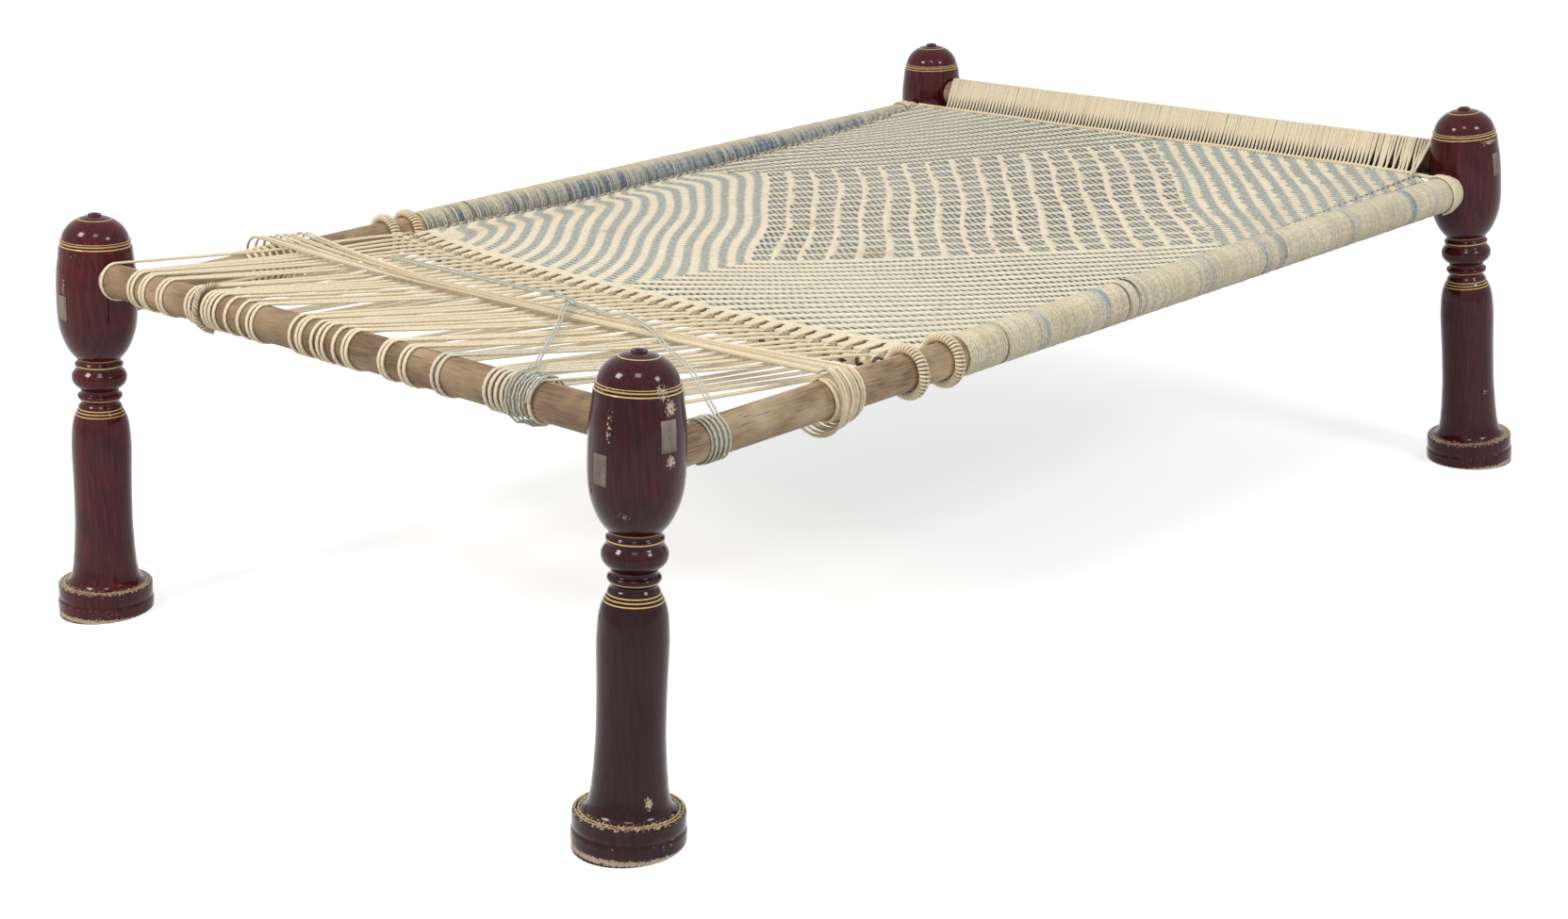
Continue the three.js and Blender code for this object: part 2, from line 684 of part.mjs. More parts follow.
printLeastGap('cross_hank', hankPath, cordRadius, hankSteps);

// Tie cord and brace cord. Each point of a route is [x, y, cords that lie between it and the lashing].

const tieRadius = tieDiameter / 2;
function routePoint([x, y, cordsUnder]) {
  const under = cordsUnder * (cordDiameter + 2 * cordGap);
  return new THREE.Vector3(x, y, lashingTop(x, y) + cordGap + under + tieRadius);
}

// The tie cord goes along the foot rope, bends back over the hank and ends on the foot rail
const tieRoute = [
  [-536, 340, 0], [-530, 150, 0], [-527, -20, 0], [-532, -45, 0], [-545, -62, 0], [-560, -76, 0],
  [-583, -97, 1], [-634, -145, 1], [-662, -171, 0], [-760, -265, 0], [-868, -368, 0],
];
addPiece('tie_cord', cordGeometry(tieRoute.map(routePoint), tieRadius, borderSides), blueCord);

// The brace cord starts square to the tie cord, crosses the hank and winds round the near side rail
const braceRoute = [
  [-551, -71.6, 0], [-547.6, -75.3, 0], [-562, -155, 0], [-573, -190, 1], [-604, -272, 1], [-628, -314, 1],
  [-652, -358, 0], [-690, -425, 0], [-745, -505, 0],
];
const braceCentre = new THREE.Vector3(braceOffset - halfLength, -halfWidth, sideRailHeight);
const braceWinding = windingPath(braceCentre, braceTurns, -bracePitch, 1).slice(1);
const bracePath = [...braceRoute.map(routePoint), ...braceWinding];
addPiece('brace_cord', cordGeometry(bracePath, tieRadius), blueCord);
printLeastGap('brace_cord', bracePath, tieRadius, turnSteps);

// The origin is on the floor under the middle of the whole bed
const outline = new THREE.Box3().setFromObject(charpai);
charpai.position.set(-(outline.min.x + outline.max.x) / 2, -(outline.min.y + outline.max.y) / 2, 0);

export default charpai;
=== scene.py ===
# %% [markdown]
# # A charpai, made in Blender
# A charpai is a light bed: four turned and lacquered legs, four plain rails, and a bed of cotton cord that is
# woven on the slant between them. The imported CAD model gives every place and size. This lesson dresses it:
# each wooden part and each cord becomes its own surface, worked out with numpy.

# %% Loading the frame
import math
from functools import partial

import bpy
import numpy as np
from mathutils import Matrix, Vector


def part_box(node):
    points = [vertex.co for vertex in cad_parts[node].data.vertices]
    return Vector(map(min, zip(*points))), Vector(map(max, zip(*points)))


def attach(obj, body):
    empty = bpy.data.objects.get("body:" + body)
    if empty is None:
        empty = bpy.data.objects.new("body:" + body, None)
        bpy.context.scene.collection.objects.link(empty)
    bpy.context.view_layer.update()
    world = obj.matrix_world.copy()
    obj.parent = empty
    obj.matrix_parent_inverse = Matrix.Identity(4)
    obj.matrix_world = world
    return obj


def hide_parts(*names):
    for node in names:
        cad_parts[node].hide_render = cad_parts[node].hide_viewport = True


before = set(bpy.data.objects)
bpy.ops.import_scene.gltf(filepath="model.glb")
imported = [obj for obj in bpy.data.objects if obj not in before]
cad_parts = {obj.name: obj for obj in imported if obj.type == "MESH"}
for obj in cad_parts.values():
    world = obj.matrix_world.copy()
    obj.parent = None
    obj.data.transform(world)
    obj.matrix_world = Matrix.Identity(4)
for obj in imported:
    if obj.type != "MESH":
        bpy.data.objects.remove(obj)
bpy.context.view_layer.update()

# %% [markdown]
# ## Measures
# The rails of the CAD model give the bed's own frame. Its origin is on the floor under the middle of the four
# rails, X runs from the foot to the head, Y from the near side to the far side, and lengths are in millimetres.
# Working in millimetres keeps the numbers like those on a drawing; one function turns them into metres.

# %% The bed's own frame
MM = 1000.0


def box_middle(node):
    """Middle of a node's box, in metres."""
    low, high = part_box(node)
    return (np.array(low) + np.array(high)) / 2


foot, head = box_middle("foot_rail"), box_middle("head_rail")
near, far = box_middle("side_rail_near"), box_middle("side_rail_far")
ORIGIN = np.array([(foot[0] + head[0]) / 2, (near[1] + far[1]) / 2, 0.0])
HALF_LENGTH = (head[0] - foot[0]) / 2 * MM
HALF_WIDTH = (far[1] - near[1]) / 2 * MM
SIDE_Z = near[2] * MM
END_Z = foot[2] * MM
RAIL_R = 23.25
print("half length", round(HALF_LENGTH, 1), "half width", round(HALF_WIDTH, 1), "rails", SIDE_Z, END_Z)

# %% [markdown]
# ## Meshes from rings
# Nearly all of this bed is long and round: legs, rails and some hundreds of metres of cord. Each is a row of
# rings, so one function joins rings into a closed mesh. Curve objects could do it too, but rings worked out as
# arrays also carry values for the finishes, such as how blue or how worn a cord is at each place.

# %% One mesh from rows of rings


def put_in_scene(name, data):
    """A new object that holds the data, linked to the scene."""
    thing = bpy.data.objects.new(name, data)
    bpy.context.scene.collection.objects.link(thing)
    return thing


def put_mesh(name, points, faces, uv, marks, material, replaces):
    """Points in mm (n, 3), a list of face arrays (k, corners), a UV for each corner, values for each point."""
    corners = np.concatenate([block.ravel() for block in faces])
    sizes = np.concatenate([np.full(len(block), block.shape[1]) for block in faces])
    mesh = bpy.data.meshes.new(name)
    mesh.vertices.add(len(points))
    mesh.vertices.foreach_set("co", (points / MM + ORIGIN).ravel())
    mesh.loops.add(len(corners))
    mesh.loops.foreach_set("vertex_index", corners)
    mesh.polygons.add(len(sizes))
    mesh.polygons.foreach_set("loop_start", np.concatenate([[0], np.cumsum(sizes)[:-1]]))
    mesh.update(calc_edges=True)
    mesh.polygons.foreach_set("use_smooth", sizes == 4)
    layer = mesh.uv_layers.new(name="UVMap")
    layer.uv.foreach_set("vector", uv.astype(np.float32).ravel())
    for mark, values in marks.items():
        data = mesh.attributes.new(mark, "FLOAT", "POINT").data
        data.foreach_set("value", np.asarray(values, np.float32).ravel())
    mesh.materials.append(material)
    piece = put_in_scene(name, mesh)
    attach(piece, "root")
    if replaces:
        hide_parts(*replaces)
    print(f"{name}: {len(points)} points, {int((sizes - 2).sum())} triangles")


def ring_mesh(name, tubes, material, *replaces):
    """Tubes are (rings, along, marks): rings (n, m, 3) in mm, along (n,) in mm, marks {name: (n,) or (n, m)}.
    Faces join each ring to the next, and a flat face closes each end."""
    sides = tubes[0][0].shape[1]
    lengths = np.array([len(rings) for rings, _, _ in tubes])
    points = np.concatenate([rings.reshape(-1, 3) for rings, _, _ in tubes])
    along = np.concatenate([run for _, run, _ in tubes]) / MM
    ids = np.arange(len(points)).reshape(-1, sides)
    last = np.cumsum(lengths) - 1
    first = last - lengths + 1
    a = np.setdiff1d(np.arange(len(ids)), last)
    b = a + 1
    turned = np.roll(ids, -1, axis=1)
    quads = np.stack([ids[a], turned[a], turned[b], ids[b]], axis=-1).reshape(-1, 4)
    starts, ends = ids[first][:, ::-1], ids[last]
    u = np.arange(sides) / sides
    wall_uv = (np.stack([u, u + 1 / sides, u + 1 / sides, u], -1), along[np.stack([a, a, b, b], -1)][:, None])
    end_uv = [(u, along[row][:, None]) for row in (first, last)]
    uv = [np.stack(np.broadcast_arrays(*pair), -1).reshape(-1, 2) for pair in (wall_uv, *end_uv)]
    marks = {mark: np.concatenate([np.broadcast_to(m[mark].reshape(len(r), -1), r.shape[:2]).ravel()
                                   for r, _, m in tubes]) for mark in tubes[0][2]}
    put_mesh(name, points, [quads, starts, ends], np.concatenate(uv), marks, material, replaces)


# %% [markdown]
# ## Cords as rings
# A cord is a small round section carried along a path. At each point of the path the section stands square to
# the path's direction. A reference direction that the path never follows turns it the same way all along,
# which a whole array can do at once.

# %% Rings round a path


def unit(vectors):
    return vectors / np.linalg.norm(vectors, axis=-1, keepdims=True)


def run_length(path):
    """Length along the path at each of its points."""
    return np.concatenate([[0], np.cumsum(np.linalg.norm(np.diff(path, axis=0), axis=1))])


def cord_rings(path, radius, sides, reference=(0, 0, 1), flat=1.0):
    """Each point of the path plus radius * (cos t * normal * flat + sin t * across), t once round.
    across = reference x direction, normal = direction x across."""
    direction = unit(np.gradient(path, axis=0))
    across = unit(np.cross(reference, direction))
    normal = np.cross(direction, across)
    angle = 2 * math.pi * np.arange(sides) / sides
    radius = np.broadcast_to(np.asarray(radius, float).reshape(-1, 1, 1), (len(path), 1, 1))
    spoke = normal[:, None] * np.cos(angle)[:, None] * flat - across[:, None] * np.sin(angle)[:, None]
    return path[:, None] + radius * spoke


def cubic(f, span, start, end, slope, end_slope):
    """The cubic from start to end, at the share f of the span, with its slopes at the two ends."""
    return ((1 + 2 * f) * (1 - f) ** 2 * start + f * (1 - f) ** 2 * span * slope
            + f * f * (3 - 2 * f) * end + f * f * (f - 1) * span * end_slope)


def smooth_path(points, step):
    """A rounded path through the points, cut into even steps. Each stretch is a cubic. It takes a time equal to
    the root of its length, and the speed at a point is the mean of the speeds beside it, weighed by the other
    stretch's time, so that a cord rounds a rail without a kink after a long straight run."""
    points = np.asarray(points, float)
    gaps = np.diff(points, axis=0)
    time = np.sqrt(np.maximum(np.linalg.norm(gaps, axis=1), 1e-6))[:, None]
    speed = gaps / time
    inner = (speed[:-1] * time[1:] + speed[1:] * time[:-1]) / (time[:-1] + time[1:])
    slope = np.concatenate([speed[:1], inner, speed[-1:]])
    t = np.linspace(0, len(points) - 1, 12 * len(points))
    k = np.minimum(t.astype(int), len(points) - 2)
    fine = cubic((t - k)[:, None], time[k], points[k], points[k + 1], slope[k], slope[k + 1])
    length = run_length(fine)
    even = np.linspace(0, length[-1], max(int(length[-1] / step), 2) + 1)
    return np.stack([np.interp(even, length, fine[:, axis]) for axis in range(3)], -1)


def cord_marks(path, blue=0.0, shade=0.0, stain=0.0):
    """The values that every cord carries: how blue, how deep in shade, how stained."""
    marks = {"blue": blue, "shade": shade, "stain": stain}
    return {mark: np.broadcast_to(np.asarray(value, float), len(path)) for mark, value in marks.items()}


def cord(path, radius, sides, reference, lead=0.0, **marks):
    """One cord along a path, as a tube for ring_mesh. Its twist starts as if the lead had gone before it."""
    return cord_rings(path, radius, sides, reference), run_length(path) + lead, cord_marks(path, **marks)


# %% [markdown]
# ## Finishes
# Colours are written as they are picked, in sRGB, and one function turns them linear. One function adds a node.
# Each finish below starts from what the real one is and how it was made.

# %% Colours and nodes


def linear(code):
    """'#rrggbb' in sRGB to linear red, green and blue, with alpha 1."""
    parts = [int(code[i:i + 2], 16) / 255 for i in (1, 3, 5)]
    return [p / 12.92 if p <= 0.04045 else ((p + 0.055) / 1.055) ** 2.4 for p in parts] + [1.0]


def add_node(tree, kind, inputs=None, **settings):
    """One shader node with its settings. Each input, by name or number, is a number or vector, a colour written
    '#rrggbb', an output, or a node, which stands for its first output in use."""
    node = tree.nodes.new("ShaderNode" + kind)
    for name, value in settings.items():
        setattr(node, name, value)
    for key, value in (inputs or {}).items():
        if isinstance(value, bpy.types.Node):
            value = next(output for output in value.outputs if output.enabled)
        if isinstance(value, bpy.types.NodeSocket):
            tree.links.new(value, node.inputs[key])
        else:
            node.inputs[key].default_value = linear(value) if isinstance(value, str) else value
    return node


def new_finish(name):
    """A material with an empty tree, and add_node bound to that tree."""
    material = bpy.data.materials.new(name)
    material.use_nodes = True
    material.node_tree.nodes.clear()
    return material, partial(add_node, material.node_tree)


# %% [markdown]
# ## Camera, floor and light
# The camera stands where it stood for the photograph: in front of the near foot corner, looking along the bed's
# diagonal and a little down. The floor is a plain pale sheet that the camera sees as white except where the bed
# shades it. Three wide soft lamps and a pale sky light the bed evenly.

# %% Camera
# its place in the bed's frame, and in radians its direction in plan, how far it looks down, and its roll
CAMERA_PLACE = np.array([-2639.2, -2522.1, 1316.6])
TURN, DOWN, ROLL = 0.7811, 0.3187, -0.0306
FOCAL_PIXELS, PHOTO_PIXELS, SENSOR = 2666.17, 1663, 36


def stand(thing, place, right, top, back):
    """Put a camera or a lamp at a place in metres, with its own X, Y and Z along right, top and back."""
    thing.matrix_world = Matrix.Translation(place) @ Matrix((right, top, back)).transposed().to_4x4()


ahead = np.array([math.cos(DOWN) * math.cos(TURN), math.cos(DOWN) * math.sin(TURN), -math.sin(DOWN)])
sideways = unit(np.cross(ahead, (0, 0, 1)))
upward = np.cross(sideways, ahead)
right = math.cos(ROLL) * sideways + math.sin(ROLL) * upward
top = -math.sin(ROLL) * sideways + math.cos(ROLL) * upward
place = CAMERA_PLACE / MM + ORIGIN
lens = bpy.data.cameras.new("photo_camera")
lens.sensor_width = SENSOR
lens.lens = FOCAL_PIXELS / PHOTO_PIXELS * SENSOR
lens.clip_end = 200
camera = put_in_scene("photo_camera", lens)
stand(camera, place.tolist(), right, top, -ahead)
bpy.context.scene.camera = camera
bpy.context.scene.view_settings.view_transform = "Standard"
print("camera at", place.round(3), "lens", round(lens.lens, 2))

# %% Floor and sky
FLOOR_SIZE = 60.0
# what the paper's own glow adds where the camera sees it, and the light of the sky
GLOW, SKY = 0.66, 0.62


def seen_share(add):
    """1 for rays that show the background: from the camera, or by way of a gloss or a glass."""
    path = add("LightPath").outputs
    seen = add("Math", {0: path["Is Camera Ray"], 1: path["Is Glossy Ray"]}, operation="MAXIMUM")
    return add("Math", {0: seen, 1: path["Is Transmission Ray"]}, operation="MAXIMUM")


paper, add = new_finish("white_paper_sweep")
matt = add("BsdfPrincipled", {"Base Color": "#cfcfcf", "Roughness": 1.0, "Specular IOR Level": 0.0})
glow = add("Math", {0: seen_share(add), 1: GLOW}, operation="MULTIPLY")
both = add("AddShader", {0: matt, 1: add("Emission", {"Strength": glow})})
add("OutputMaterial", {0: both})
floor_mesh = bpy.data.meshes.new("floor")
corners = [(x * FLOOR_SIZE / 2, y * FLOOR_SIZE / 2, 0) for x, y in ((-1, -1), (1, -1), (1, 1), (-1, 1))]
floor_mesh.from_pydata(corners, [], [(0, 1, 2, 3)])
floor_mesh.materials.append(paper)
floor = put_in_scene("floor", floor_mesh)
print("floor:", FLOOR_SIZE, "m square")

world = bpy.data.worlds.new("pale_sky")
world.use_nodes = True
bpy.context.scene.world = world
sky_tree = world.node_tree
add = partial(add_node, sky_tree)
light = add("Background", {"Color": "#f4f5f8", "Strength": SKY})
white = add("Background", {"Color": "#ffffff", "Strength": 1.0})
mixed = add("MixShader", {0: seen_share(add), 1: light, 2: white})
sky_tree.links.new(mixed.outputs[0], sky_tree.nodes["World Output"].inputs[0])


# %% Lamps
# square lamps that face the middle of the bed: place and size in metres, watts, colour
LAMPS = {"key_lamp": ((-3.2, 0.8, 3.4), 0.95, 84, "#fffaf2"),
         "fill_lamp": ((0.6, -3.6, 3.0), 0.85, 50, "#fbfcff"),
         "top_lamp": ((-1.9, -1.9, 4.0), 0.9, 32, "#ffffff")}
BED_MIDDLE = (0.0, 0.0, 0.4)
for name, (place, size, watts, colour) in LAMPS.items():
    data = bpy.data.lights.new(name, "AREA")
    data.size, data.energy, data.color = size, watts, linear(colour)[:3]
    away = unit(np.array(place) - BED_MIDDLE)
    side = unit(np.cross((0, 0, 1), away))
    stand(put_in_scene(name, data), place, side, np.cross(away, side), away)
print("lamps:", len(LAMPS), "with", sum(lamp[2] for lamp in LAMPS.values()), "watts")

# %% [markdown]
# ## Lacquer
# The legs are turned hardwood under dark oxblood lacquer, rubbed on the lathe with a lac stick and polished.
# That gives the eye a very deep red brown with a faint upright figure, a hard glassy shine, and chips on the
# edges where pale wood shows. Thin cream rings were left in the turned grooves.

# %% Lacquer on turned wood
lacquer, add = new_finish("oxblood_lacquer_on_turned_wood")
spot = add("TexCoord").outputs["Object"]
# figure about 3 mm wide and 60 mm tall
grain = add("Mapping", {"Vector": spot, "Scale": (300, 300, 16)})
figure = add("TexNoise", {"Vector": grain, "Scale": 1.0, "Detail": 4.0, "Distortion": 0.4})
clouds = add("TexNoise", {"Vector": spot, "Scale": 22.0, "Detail": 3.0})
spread = add("MapRange", {"Value": figure, "From Min": 0.3, "From Max": 0.76})
cloudy = add("MapRange", {"Value": clouds, "From Min": 0.3, "From Max": 0.7, "To Max": 0.45})
dark = add("Mix", {0: spread, 6: "#140509", 7: "#34111a"}, data_type="RGBA")
red = add("Mix", {0: spread, 6: "#3c0e13", 7: "#7a2628"}, data_type="RGBA")
# the tone mark makes the lacquer darker or redder from leg to leg, and from the shaft to the barrel
tone = add("Attribute", attribute_name="tone").outputs["Fac"]
deep = add("Mix", {0: tone, 6: dark, 7: red}, data_type="RGBA")
body = add("Mix", {0: cloudy, 6: deep, 7: "#1e080d"}, data_type="RGBA")
painted = add("Attribute", attribute_name="paint").outputs["Fac"]
lined = add("Mix", {0: painted, 6: body, 7: "#cdb070"}, data_type="RGBA")
worn = add("Attribute", attribute_name="wear").outputs["Fac"]
chips = add("TexNoise", {"Vector": spot, "Scale": 330.0, "Detail": 4.0, "Roughness": 0.7})
# a chip shows where the noise rises over a level that the wear lowers
rise = add("Math", {0: worn, 1: 0.42, 2: chips}, operation="MULTIPLY_ADD")
bare = add("MapRange", {"Value": rise, "From Min": 0.74, "From Max": 0.8})
wood = add("Mix", {0: clouds, 6: "#a58c76", 7: "#cfc0a8"}, data_type="RGBA")
skin = add("Mix", {0: bare, 6: lined, 7: wood}, data_type="RGBA")
# fingers and dust leave the shine a little uneven
smear = add("MapRange", {"Value": clouds, "From Min": 0.35, "From Max": 0.7, "To Min": 0.07, "To Max": 0.16})
rough = add("Mix", {0: bare, 2: smear, 3: 0.75})
ripple = add("Bump", {"Height": figure, "Strength": 0.1, "Distance": 0.0005})
dent = add("Bump", {"Height": bare, "Strength": 0.5, "Distance": 0.0005, "Normal": ripple}, invert=True)
shader = add("BsdfPrincipled", {"Base Color": skin, "Roughness": rough, "Normal": dent, "IOR": 1.5,
                                "Specular IOR Level": 0.22})
add("OutputMaterial", {0: shader})
print(lacquer.name, "has", len(lacquer.node_tree.nodes), "nodes")

# %% [markdown]
# ## Legs
# A leg is turned on a lathe: a base disc, a shaft, a row of beads and coves, a swelling barrel that takes the
# rails, and a dome with a small nub. The lathe could be a Screw modifier, but a surface of height and angle
# also carries the painted rings and the wear. The profile is read from the leg that stands nearest.

# %% Profile of a leg, as height and radius
LEG_PROFILE = np.array([
    (-9, 66), (0, 66), (5, 67), (17, 67), (21, 64.7), (25, 66), (38, 66), (41, 64.7), (42, 56), (46, 51),
    (53, 47.5), (62, 45.6), (70, 44.4), (80, 43.6), (90, 42.6), (103, 41.9), (120, 40.9), (140, 40.3),
    (165, 40.3), (190, 40.5), (212, 41), (230, 41.5), (243, 41.6), (257, 41.1), (266, 40.5), (275, 39.6),
    (284, 37.8), (292.5, 35), (297, 32.9), (301, 30.7), (305, 29.5), (310, 26.3), (316, 30), (319, 31),
    (321.7, 30), (324, 26.5), (328, 26.5), (333, 31.7), (338.5, 36.3), (343.5, 38), (348, 38.2), (352, 37),
    (357, 33.6), (360, 31.7), (362.6, 33.2), (366.6, 33.2), (369, 30.6), (372, 30), (376, 33), (380, 36.4),
    (385, 40), (389, 42.3), (394, 44.8), (398, 46.5), (406, 49.4), (415, 51.9), (424, 53.5), (432, 54.4),
    (441, 55), (460, 55.3), (480, 55.1), (492, 54.6), (501, 54), (509, 53), (518, 51.8), (528, 50.7),
    (535, 49.8), (537, 48.4), (543, 48.2),
])
dome_angle = np.linspace(math.asin(4.5 / 38), math.acos(9.5 / 46.7), 12)
DOME = np.stack([539 + 38 * np.sin(dome_angle), 46.7 * np.cos(dome_angle)], -1)
NUB = np.array([(578.2, 9.4), (578.9, 8.2), (578.2, 6.6), (578.6, 5.2), (579.9, 4.2), (580.3, 2.4),
                (580.2, 0.4)])
PAINTED = [41.3, 41.75, 293.2, 297.4, 301.4, 315.8, 364.4, 373.6, 536.2, 540.2, 543.4, 572.0]


def gentle(x, y, at):
    """Cubic curve through the points (x, y) that never overshoots: the slope at a point is a mean of the two
    slopes beside it where they agree in sign, and level where they don't."""
    h, d = np.diff(x), np.diff(y) / np.diff(x)
    w1, w2 = 2 * h[1:] + h[:-1], h[1:] + 2 * h[:-1]
    with np.errstate(divide="ignore", invalid="ignore"):
        inner = (w1 + w2) / (w1 / d[:-1] + w2 / d[1:])
    slope = np.concatenate([[d[0]], np.where(d[:-1] * d[1:] > 0, inner, 0), [d[-1]]])
    k = np.clip(np.searchsorted(x, at, side="right") - 1, 0, len(h) - 1)
    return cubic((at - x[k]) / h[k], h[k], y[k], y[k + 1], slope[k], slope[k + 1])


outline = np.concatenate([LEG_PROFILE, DOME, NUB])
reach = run_length(outline)
rising = len(LEG_PROFILE) + len(DOME)
line_reach = np.interp(PAINTED, outline[:rising, 0], reach[:rising])
LINE_HALF = 0.62
stations = np.concatenate([np.linspace(a, b, max(2, math.ceil((b - a) / 2.6)), endpoint=False)
                           for a, b in zip(reach[:-1], reach[1:])])
edges = (line_reach[:, None] + np.array([-1.4, -1.0, 1.0, 1.4]) * LINE_HALF).ravel()
stations = np.unique(np.concatenate([stations, edges, reach[-1:]]).round(3))
leg_z = gentle(reach, outline[:, 0], stations)
leg_r = gentle(reach, outline[:, 1], stations)
off_line = np.abs(stations[:, None] - line_reach).min(axis=1)
leg_paint = np.clip((1.4 * LINE_HALF - off_line) / (0.4 * LINE_HALF), 0, 1)
print("leg rings:", len(stations))


def leg_radius(height):
    """Radius of the turned leg at a height below the dome's nub."""
    return np.interp(height, leg_z[leg_z < 576], leg_r[leg_z < 576])


# %% Where the legs stand, and how they lean
# Each leg: place along and across, its lean for each unit of height, and worn spots
# (direction in degrees, height, half width in degrees, half height, amount)
LEGS = {
    "leg_foot_near": (-1, -1, (0.081, -0.013), [
        (-100, 540, 14, 14, 0.75), (-90, 523, 9, 12, 0.95), (-90, 463, 9, 9, 0.95), (-168, 500, 5, 26, 0.7),
        (-150, 402, 16, 8, 0.5), (-105, 63, 8, 9, 0.9), (-95, 20, 50, 12, 0.35), (180, 540, 40, 5, 0.4)]),
    "leg_foot_far": (-1, 1, (0.072, -0.039), [
        (-175, 480, 5, 22, 0.65), (-165, 530, 22, 10, 0.35), (-120, 12, 40, 10, 0.3)]),
    "leg_head_near": (1, -1, (-0.062, 0.043), [
        (-100, 530, 26, 6, 0.75), (-85, 380, 14, 5, 0.5), (-110, 120, 14, 4, 0.7), (-120, 20, 40, 10, 0.3)]),
    "leg_head_far": (1, 1, (0.005, -0.005), [(-110, 520, 20, 6, 0.4)]),
}


def lean_matrix(lean):
    """Turn that takes straight up to the leaning axis (Rodrigues: I + K + K*K / (1 + cos))."""
    axis = unit(np.array([lean[0], lean[1], 1.0]))
    v = np.cross((0, 0, 1), axis)
    k = np.array([[0, -v[2], v[1]], [v[2], 0, -v[0]], [-v[1], v[0], 0]])
    return np.eye(3) + k + k @ k / (1 + axis[2])


def on_leg(leg, direction, height, radius):
    """Points of a leg from direction (radians), height and radius, leaned about the side rail's axis."""
    along, across, lean, _ = LEGS[leg]
    local = np.stack(np.broadcast_arrays(radius * np.cos(direction), radius * np.sin(direction),
                                         height - SIDE_Z), -1)
    placed = local @ lean_matrix(lean).T + [along * HALF_LENGTH, across * HALF_WIDTH, SIDE_Z]
    placed[..., 2] = np.maximum(placed[..., 2], 0)
    return placed


leans = {leg: round(math.degrees(math.hypot(*lean)), 1) for leg, (_, _, lean, _) in LEGS.items()}
print("leans in degrees:", leans)

# %% Turning the legs
LEG_SIDES = 72
# edges worn all round: height, half height, amount. A groove, thinner than this radius, keeps its paint
EDGE_WEAR = [(0, 5, 1.0), (41, 4, 0.55), (17, 3, 0.3), (540, 7, 0.3), (375, 5, 0.25), (331, 3, 0.2)]
GROOVE_R = 28
# how red the lacquer is at the shaft and at the barrel
LEG_TONE = {"leg_foot_near": (0.1, 0.32), "leg_foot_far": (0.65, 0.75), "leg_head_near": (0.5, 0.55),
            "leg_head_far": (0.6, 0.65)}
SHAFT_TOP, BARREL_FOOT = 290, 420
direction = 2 * math.pi * np.arange(LEG_SIDES) / LEG_SIDES
for leg, (_, _, _, spots) in LEGS.items():
    wear = np.zeros((len(stations), LEG_SIDES))
    for height, half, amount in EDGE_WEAR:
        band = amount * np.exp(-((leg_z[:, None] - height) / half) ** 2)
        wear = np.maximum(wear, band * (leg_r[:, None] > GROOVE_R))
    for degrees, height, half_turn, half, amount in spots:
        off = (np.degrees(direction) - degrees + 180) % 360 - 180
        spot_shape = np.exp(-(off / half_turn) ** 2 - ((leg_z[:, None] - height) / half) ** 2)
        wear = np.maximum(wear, amount * spot_shape)
    rings = on_leg(leg, direction, leg_z[:, None], leg_r[:, None])
    tone = np.interp(leg_z, (SHAFT_TOP, BARREL_FOOT), LEG_TONE[leg])
    marks = {"paint": leg_paint, "wear": wear, "tone": tone}
    ring_mesh(f"{leg}_turned", [(rings, leg_z + 9, marks)], lacquer, leg)

# %% [markdown]
# ## Weathered rails
# The rails are plain round poles of unpainted wood, grey brown from handling and sun, with long fine cracks
# along the grain. Each ends in a squared tenon that goes right through the leg and shows its rough end grain.

# %% Weathered wood


def weathered_wood(name, pale, mid, dark, along_scale, round_scale):
    """Streaks along the grain: noise on the piece's own UV, squeezed round the pole and drawn out along it."""
    material, add = new_finish(name)
    own = add("UVMap", uv_map="UVMap")
    stretched = add("Mapping", {"Vector": own, "Scale": (round_scale, along_scale, 1)})
    streaks = add("TexNoise", {"Vector": stretched, "Scale": 1.0, "Detail": 6.0, "Roughness": 0.65,
                               "Distortion": 0.3})
    patchy = add("Mapping", {"Vector": own, "Scale": (2.5, 9, 1)})
    patches = add("TexNoise", {"Vector": patchy, "Scale": 1.0, "Detail": 3.0})
    tone = add("MapRange", {"Value": streaks, "From Min": 0.34, "From Max": 0.66})
    patch = add("MapRange", {"Value": patches, "From Min": 0.38, "From Max": 0.66, "To Max": 0.75})
    crack = add("MapRange", {"Value": streaks, "From Min": 0.31, "From Max": 0.38})
    colour = add("Mix", {0: tone, 6: dark, 7: mid}, data_type="RGBA")
    colour = add("Mix", {0: patch, 6: colour, 7: pale}, data_type="RGBA")
    colour = add("Mix", {0: crack, 6: "#34281f", 7: colour}, data_type="RGBA")
    groove = add("Bump", {"Height": streaks, "Strength": 0.6, "Distance": 0.0014})
    shader = add("BsdfPrincipled", {"Base Color": colour, "Roughness": 0.72, "Normal": groove})
    add("OutputMaterial", {0: shader})
    return material


rail_wood = weathered_wood("weathered_bare_wood", "#cbb592", "#9c8060", "#513b2a", 22, 75)
# the foot rail takes a darker copy of the rail wood: painted shade
shaded_foot_wood = weathered_wood("bare_wood_darker_painted_shade", "#b49a78", "#866a4f", "#46311f", 22, 75)
end_wood = weathered_wood("worn_end_grain", "#a3968a", "#776a5c", "#4b4038", 260, 26)

# %% The four rails
RAIL_SIDES = 40
RING_STEP = 12


